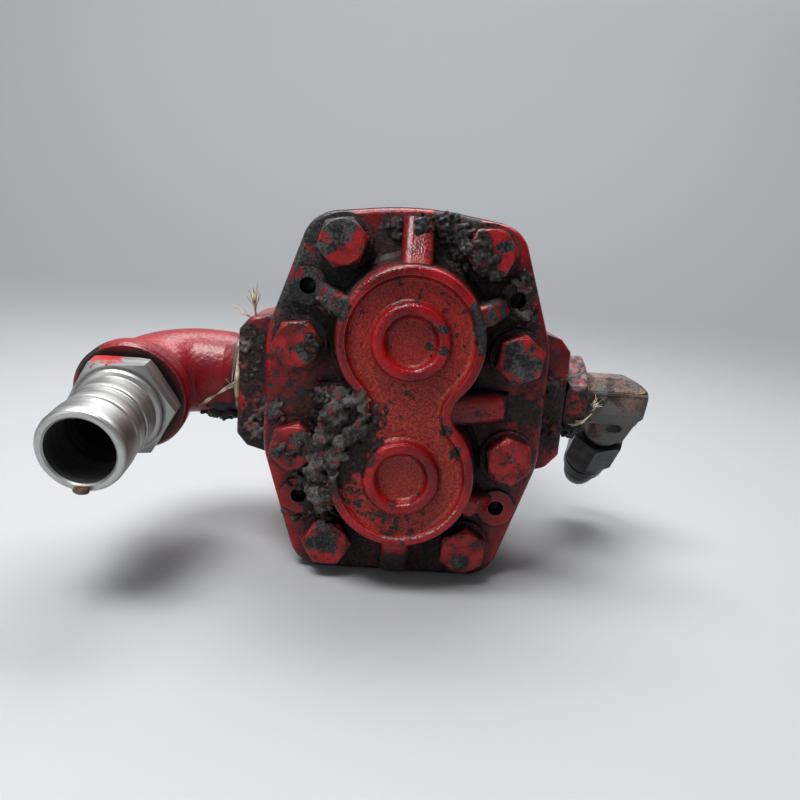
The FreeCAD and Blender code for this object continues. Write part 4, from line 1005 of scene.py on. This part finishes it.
# %% The thick crust by the waist and the left lobe
crust("waist_crust", "rear_cover",
      [((0.30, 0.20, 0.50), 0.0042, 24, 0.0020, 0.0046),
       ((0.27, 0.24, 0.45), 0.0042, 26, 0.0020, 0.0046),
       ((0.25, 0.29, 0.40), 0.0042, 26, 0.0018, 0.0042),
       ((0.23, 0.32, 0.35), 0.0040, 26, 0.0018, 0.0040),
       ((0.21, 0.34, 0.30), 0.0038, 26, 0.0016, 0.0038),
       ((0.21, 0.39, 0.25), 0.0036, 24, 0.0014, 0.0036),
       ((0.23, 0.44, 0.20), 0.0034, 20, 0.0012, 0.0032),
       ((0.25, 0.49, 0.16), 0.0030, 14, 0.0010, 0.0026),
       ((0.20, 0.59, 0.51), 0.0036, 16, 0.0010, 0.0030),
       ((0.19, 0.61, 0.45), 0.0036, 14, 0.0010, 0.0026),
       ((0.18, 0.59, 0.38), 0.0032, 12, 0.0010, 0.0026),
       ((0.18, 0.61, 0.26), 0.0034, 12, 0.0008, 0.0024)],
      dry_crust, "casting_paint", 11, grain=0.0006, rough=0.0018, fill=True)
crust("rim_crust", "rear_cover",
      [((0.34, 0.07, 0.51), 0.0042, 18, 0.0010, 0.0034),
       ((0.40, 0.10, 0.49), 0.0036, 14, 0.0008, 0.0024),
       ((0.34, 0.10, 0.44), 0.0042, 18, 0.0010, 0.0030),
       ((0.29, 0.05, 0.38), 0.0034, 14, 0.0008, 0.0026),
       ((0.27, 0.05, 0.32), 0.0030, 8, 0.0006, 0.0018)],
      dry_crust, "casting_paint", 18, grain=0.0006, rough=0.0012, fill=True)

# %% [markdown]
# ### Tar
#
# Black tar lies in the shelter of the top web and has run over the upper right bolt. It is wetter than
# the dry crust, so it gets the glossy material, and smaller dabs sit on two bolts of the left row.

# %% Tar by the top web and over the upper right bolt
crust("top_tar", "rear_cover",
      [((0.60, 0.61, 0.96), 0.0036, 22, 0.0010, 0.0032),
       ((0.63, 0.61, 0.94), 0.0038, 26, 0.0014, 0.0040),
       ((0.65, 0.56, 0.90), 0.0034, 20, 0.0012, 0.0034),
       ((0.67, 0.59, 0.87), 0.0026, 12, 0.0010, 0.0026),
       ((0.51, 0.49, 0.96), 0.0030, 14, 0.0010, 0.0026),
       ((0.56, 0.54, 0.96), 0.0028, 12, 0.0010, 0.0026),
       ((0.43, 0.63, 0.94), 0.0030, 14, 0.0010, 0.0026)],
      wet_tar, "casting_paint", 12)
crust("bolt_tar", "rear_cover",
      [((0.70, 0.39, 0.92), 0.0034, 26, 0.0010, 0.0030),
       ((0.72, 0.39, 0.88), 0.0036, 28, 0.0010, 0.0032),
       ((0.76, 0.46, 0.85), 0.0026, 12, 0.0010, 0.0026),
       ((0.17, 0.41, 0.64), 0.0026, 26, 0.0008, 0.0021),
       ((0.12, 0.41, 0.35), 0.0020, 14, 0.0006, 0.0016)],
      wet_tar, "bolt_steel", 13, rough=0.0022)

# %% [markdown]
# ### Loose crumbs
#
# Small crumbs have gathered wherever the plate makes a ledge: by the right dowel drillings, on the left
# edge and round the lowest left bolt.

# %% Crumbs elsewhere on the cover
crust("cover_crumbs", "rear_cover",
      [((0.85, 0.61, 0.83), 0.0044, 20, 0.0006, 0.0022),
       ((0.89, 0.61, 0.75), 0.0040, 18, 0.0006, 0.0020),
       ((0.19, 0.61, 0.74), 0.0040, 14, 0.0006, 0.0020),
       ((0.08, 0.61, 0.35), 0.0034, 16, 0.0006, 0.0024),
       ((0.04, 0.68, 0.44), 0.0038, 20, 0.0008, 0.0026),
       ((0.14, 0.68, 0.26), 0.0042, 16, 0.0006, 0.0022),
       ((0.11, 0.68, 0.15), 0.0040, 12, 0.0006, 0.0018)],
      dry_crust, "casting_paint", 14, grain=0.0005, rough=0.0009)

# %% [markdown]
# ### Lumps by the ports
#
# The ports weep a little, so lumps cling to the faces of both pads, under the neck of the bend, where
# they are thrown up from below, and under the adapter.

# %% Lumps on the port pads and under the bend's neck
crust("pad_lumps", "gear_housing",
      [((0.03, 0.04, 0.61), 0.0040, 22, 0.0006, 0.0020),
       ((0.04, 0.04, 0.55), 0.0046, 18, 0.0005, 0.0016),
       ((0.06, 0.04, 0.38), 0.0044, 24, 0.0006, 0.0024),
       ((0.08, 0.04, 0.43), 0.0040, 18, 0.0006, 0.0024),
       ((0.96, 0.04, 0.43), 0.0044, 24, 0.0006, 0.0022),
       ((0.95, 0.04, 0.56), 0.0050, 18, 0.0005, 0.0018)],
      dry_crust, "casting_paint", 15, targets=("gear_housing",), grain=0.0005, rough=0.0009)
crust("neck_tar", "suction_elbow",
      [((0.72, 0.60, 0.20), 0.0044, 26, 0.0012, 0.0034),
       ((0.63, 0.57, 0.20), 0.0038, 16, 0.0010, 0.0026)],
      wet_tar, "elbow_paint", 16, way=(0, 0, 1), targets=("suction_elbow",))
crust("adapter_tar", "pressure_adapter",
      [((0.82, 0.17, 0.12), 0.0036, 30, 0.0010, 0.0028)],
      wet_tar, "adapter_steel", 17, targets=("pressure_adapter",))

# %% [markdown]
# ## Hemp in the joints
#
# Fitters wind hemp round a tapered thread and screw it home. What doesn't fit is squeezed out: turns of
# fibre lie round the neck, and broken ends stand up or trail below. Each fibre is a thin round path. They
# are laid by two rules, one that winds round an axis and one that twists a tuft along a wandering spine,
# and are then turned into mesh.

# %% Fibres
inlet_low, inlet_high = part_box("inlet_hemp")
_, outlet_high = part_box("outlet_hemp")
PORT_AXIS = ((inlet_low[1] + inlet_high[1]) / 2, (inlet_low[2] + inlet_high[2]) / 2)
INLET_X = inlet_low[0]
OUTLET_X = outlet_high[0]
FIBRE_RADIUS = 0.00016
print("the packings lie at x", round(INLET_X, 4), "and", round(OUTLET_X, 4))


def fibres(name, lines):
    """One mesh of many fibres. lines holds lists of points."""
    nothing_selected()
    bpy.ops.curve.primitive_nurbs_path_add()
    bundle = bpy.context.object
    bundle.name = name
    curve = bundle.data
    curve.splines.clear()
    for line in lines:
        spline = curve.splines.new("NURBS")
        spline.points.add(len(line) - 1)
        for point, where in zip(spline.points, line):
            point.co = (*where, 1)
        spline.use_endpoint_u = True
        spline.order_u = 3
    curve.bevel_depth = FIBRE_RADIUS
    curve.bevel_resolution = 0
    curve.resolution_u = 3
    curve.use_fill_caps = True
    bpy.ops.object.convert(target="MESH")
    bundle = bpy.context.object
    bundle.data.materials.clear()
    bundle.data.materials.append(hemp_fibre)
    return settle(bundle, "pump")


def winding(draw, x, radius, drift):
    """Part of a turn round the port axis."""
    begin = draw.uniform(0, 2 * math.pi)
    span = draw.uniform(1.5, 4.5)
    points = []
    steps = 14
    for i in range(steps + 1):
        angle = begin + span * i / steps
        lift = radius + draw.uniform(-0.0004, 0.0006)
        points.append((x + drift * i / steps + draw.uniform(-0.0003, 0.0003),
                       PORT_AXIS[0] + lift * math.cos(angle),
                       PORT_AXIS[1] + lift * math.sin(angle)))
    return points


def tuft(draw, root, way, length, count, fray, curl):
    """A twist of fibres that share one wandering spine and fray towards its end."""
    steps = 8
    spine = [mathutils.Vector(root)]
    heading = mathutils.Vector(way).normalized()
    for _ in range(steps):
        heading = (heading + mathutils.Vector([draw.uniform(-curl, curl) for _ in range(3)])).normalized()
        spine.append(spine[-1] + heading * length / steps)
    lines = []
    for _ in range(count):
        lean = mathutils.Vector([draw.uniform(-1, 1) for _ in range(3)]) * fray
        last = draw.randint(4, steps)
        line = []
        for i in range(last + 1):
            tremble = mathutils.Vector([draw.uniform(-0.00035, 0.00035) for _ in range(3)])
            line.append(tuple(spine[i] + lean * (i / steps) ** 2 + tremble))
        lines.append(line)
    return lines

# %% [markdown]
# ### Suction side
#
# Squeezed-out turns show in the gap between the bend and the pad. Two tufts stand up from the top of the
# pad, and a slack strand hangs across the front of the neck.

# %% Hemp on the suction side
def by_port(x, out, up):
    """A point at that x, so far towards the front and so far up from the port axis."""
    return (x, PORT_AXIS[0] - out, PORT_AXIS[1] + up)


draw = random.Random(21)
lines = [winding(draw, INLET_X + draw.uniform(-0.0007, 0.0012), draw.uniform(0.0216, 0.0230),
                 draw.uniform(-0.001, 0.001)) for _ in range(12)]
lines += tuft(draw, by_port(INLET_X + 0.0080, 0.012, 0.0335), (-0.1, -0.1, 1), 0.016, 28, 0.0060, 0.12)
lines += tuft(draw, by_port(INLET_X + 0.0060, 0.012, 0.0325), (-0.7, -0.1, 0.5), 0.010, 8, 0.0040, 0.2)
for _ in range(9):
    slack = draw.uniform(-0.0012, 0.0012)
    lines.append([by_port(INLET_X + 0.0005 - 0.0026 * i, 0.0238 * math.cos(0.09 * i),
                          slack * math.sin(0.8 * i) - 0.0238 * math.sin(0.09 * i)) for i in range(9)])
lines += tuft(draw, by_port(INLET_X, 0.0235, -0.003), (-0.4, -0.6, -0.2), 0.005, 16, 0.0035, 0.5)
fibres("suction_fibres", lines)

# %% [markdown]
# ### Pressure side
#
# The same packing, smaller: part turns in the joint, one knot in front of the elbow's arm and a few ends
# that trail away from it.

# %% Hemp on the pressure side
lines = [winding(draw, OUTLET_X - draw.uniform(0.0002, 0.0013), draw.uniform(0.0150, 0.0168),
                 draw.uniform(-0.001, 0.001)) for _ in range(14)]
lines += tuft(draw, by_port(OUTLET_X + 0.0036, 0.0165, -0.0035), (0.5, -0.7, 0.3), 0.006, 22, 0.0045, 0.6)
lines += tuft(draw, by_port(OUTLET_X + 0.0028, 0.0175, -0.0055), (-0.7, -0.5, -0.55), 0.016, 11, 0.0030,
              0.3)
fibres("pressure_fibres", lines)

# %% [markdown]
# ### A rusty drop
#
# Rusty water has dried to a drop under the lip of the hose tail. It starts as a ball, is squashed, and is
# roughened with the same textures as the crusts.

# %% A rusty drop under the mouth
DROP_RADIUS = 0.0021
tail_low, tail_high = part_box("hose_tail")
drop_place = ((tail_low[0] + tail_high[0]) / 2, tail_low[1] + 0.0042, tail_low[2] + 0.0016)
nothing_selected()
bpy.ops.mesh.primitive_uv_sphere_add(segments=24, ring_count=16, radius=DROP_RADIUS, location=drop_place)
drop = bpy.context.object
drop.name = "rusty_drop"
bpy.ops.transform.resize(value=(1.7, 0.9, 0.9))
for label, strength in (("big_lumps", 0.0008), ("grit", 0.0003)):
    push = drop.modifiers.new(label, "DISPLACE")
    push.texture = CRUMB_TEXTURES[label]
    push.texture_coords = "LOCAL"
    push.strength = strength
    bpy.ops.object.modifier_apply(modifier=label)
bpy.ops.object.shade_smooth()
rust = make_crust("wet_rust", (0.060, 0.030, 0.016), (0.30, 0.20, 0.12), 0.35, 0.3, 0.0)
drop.data.materials.append(rust)
settle(drop, "pump")
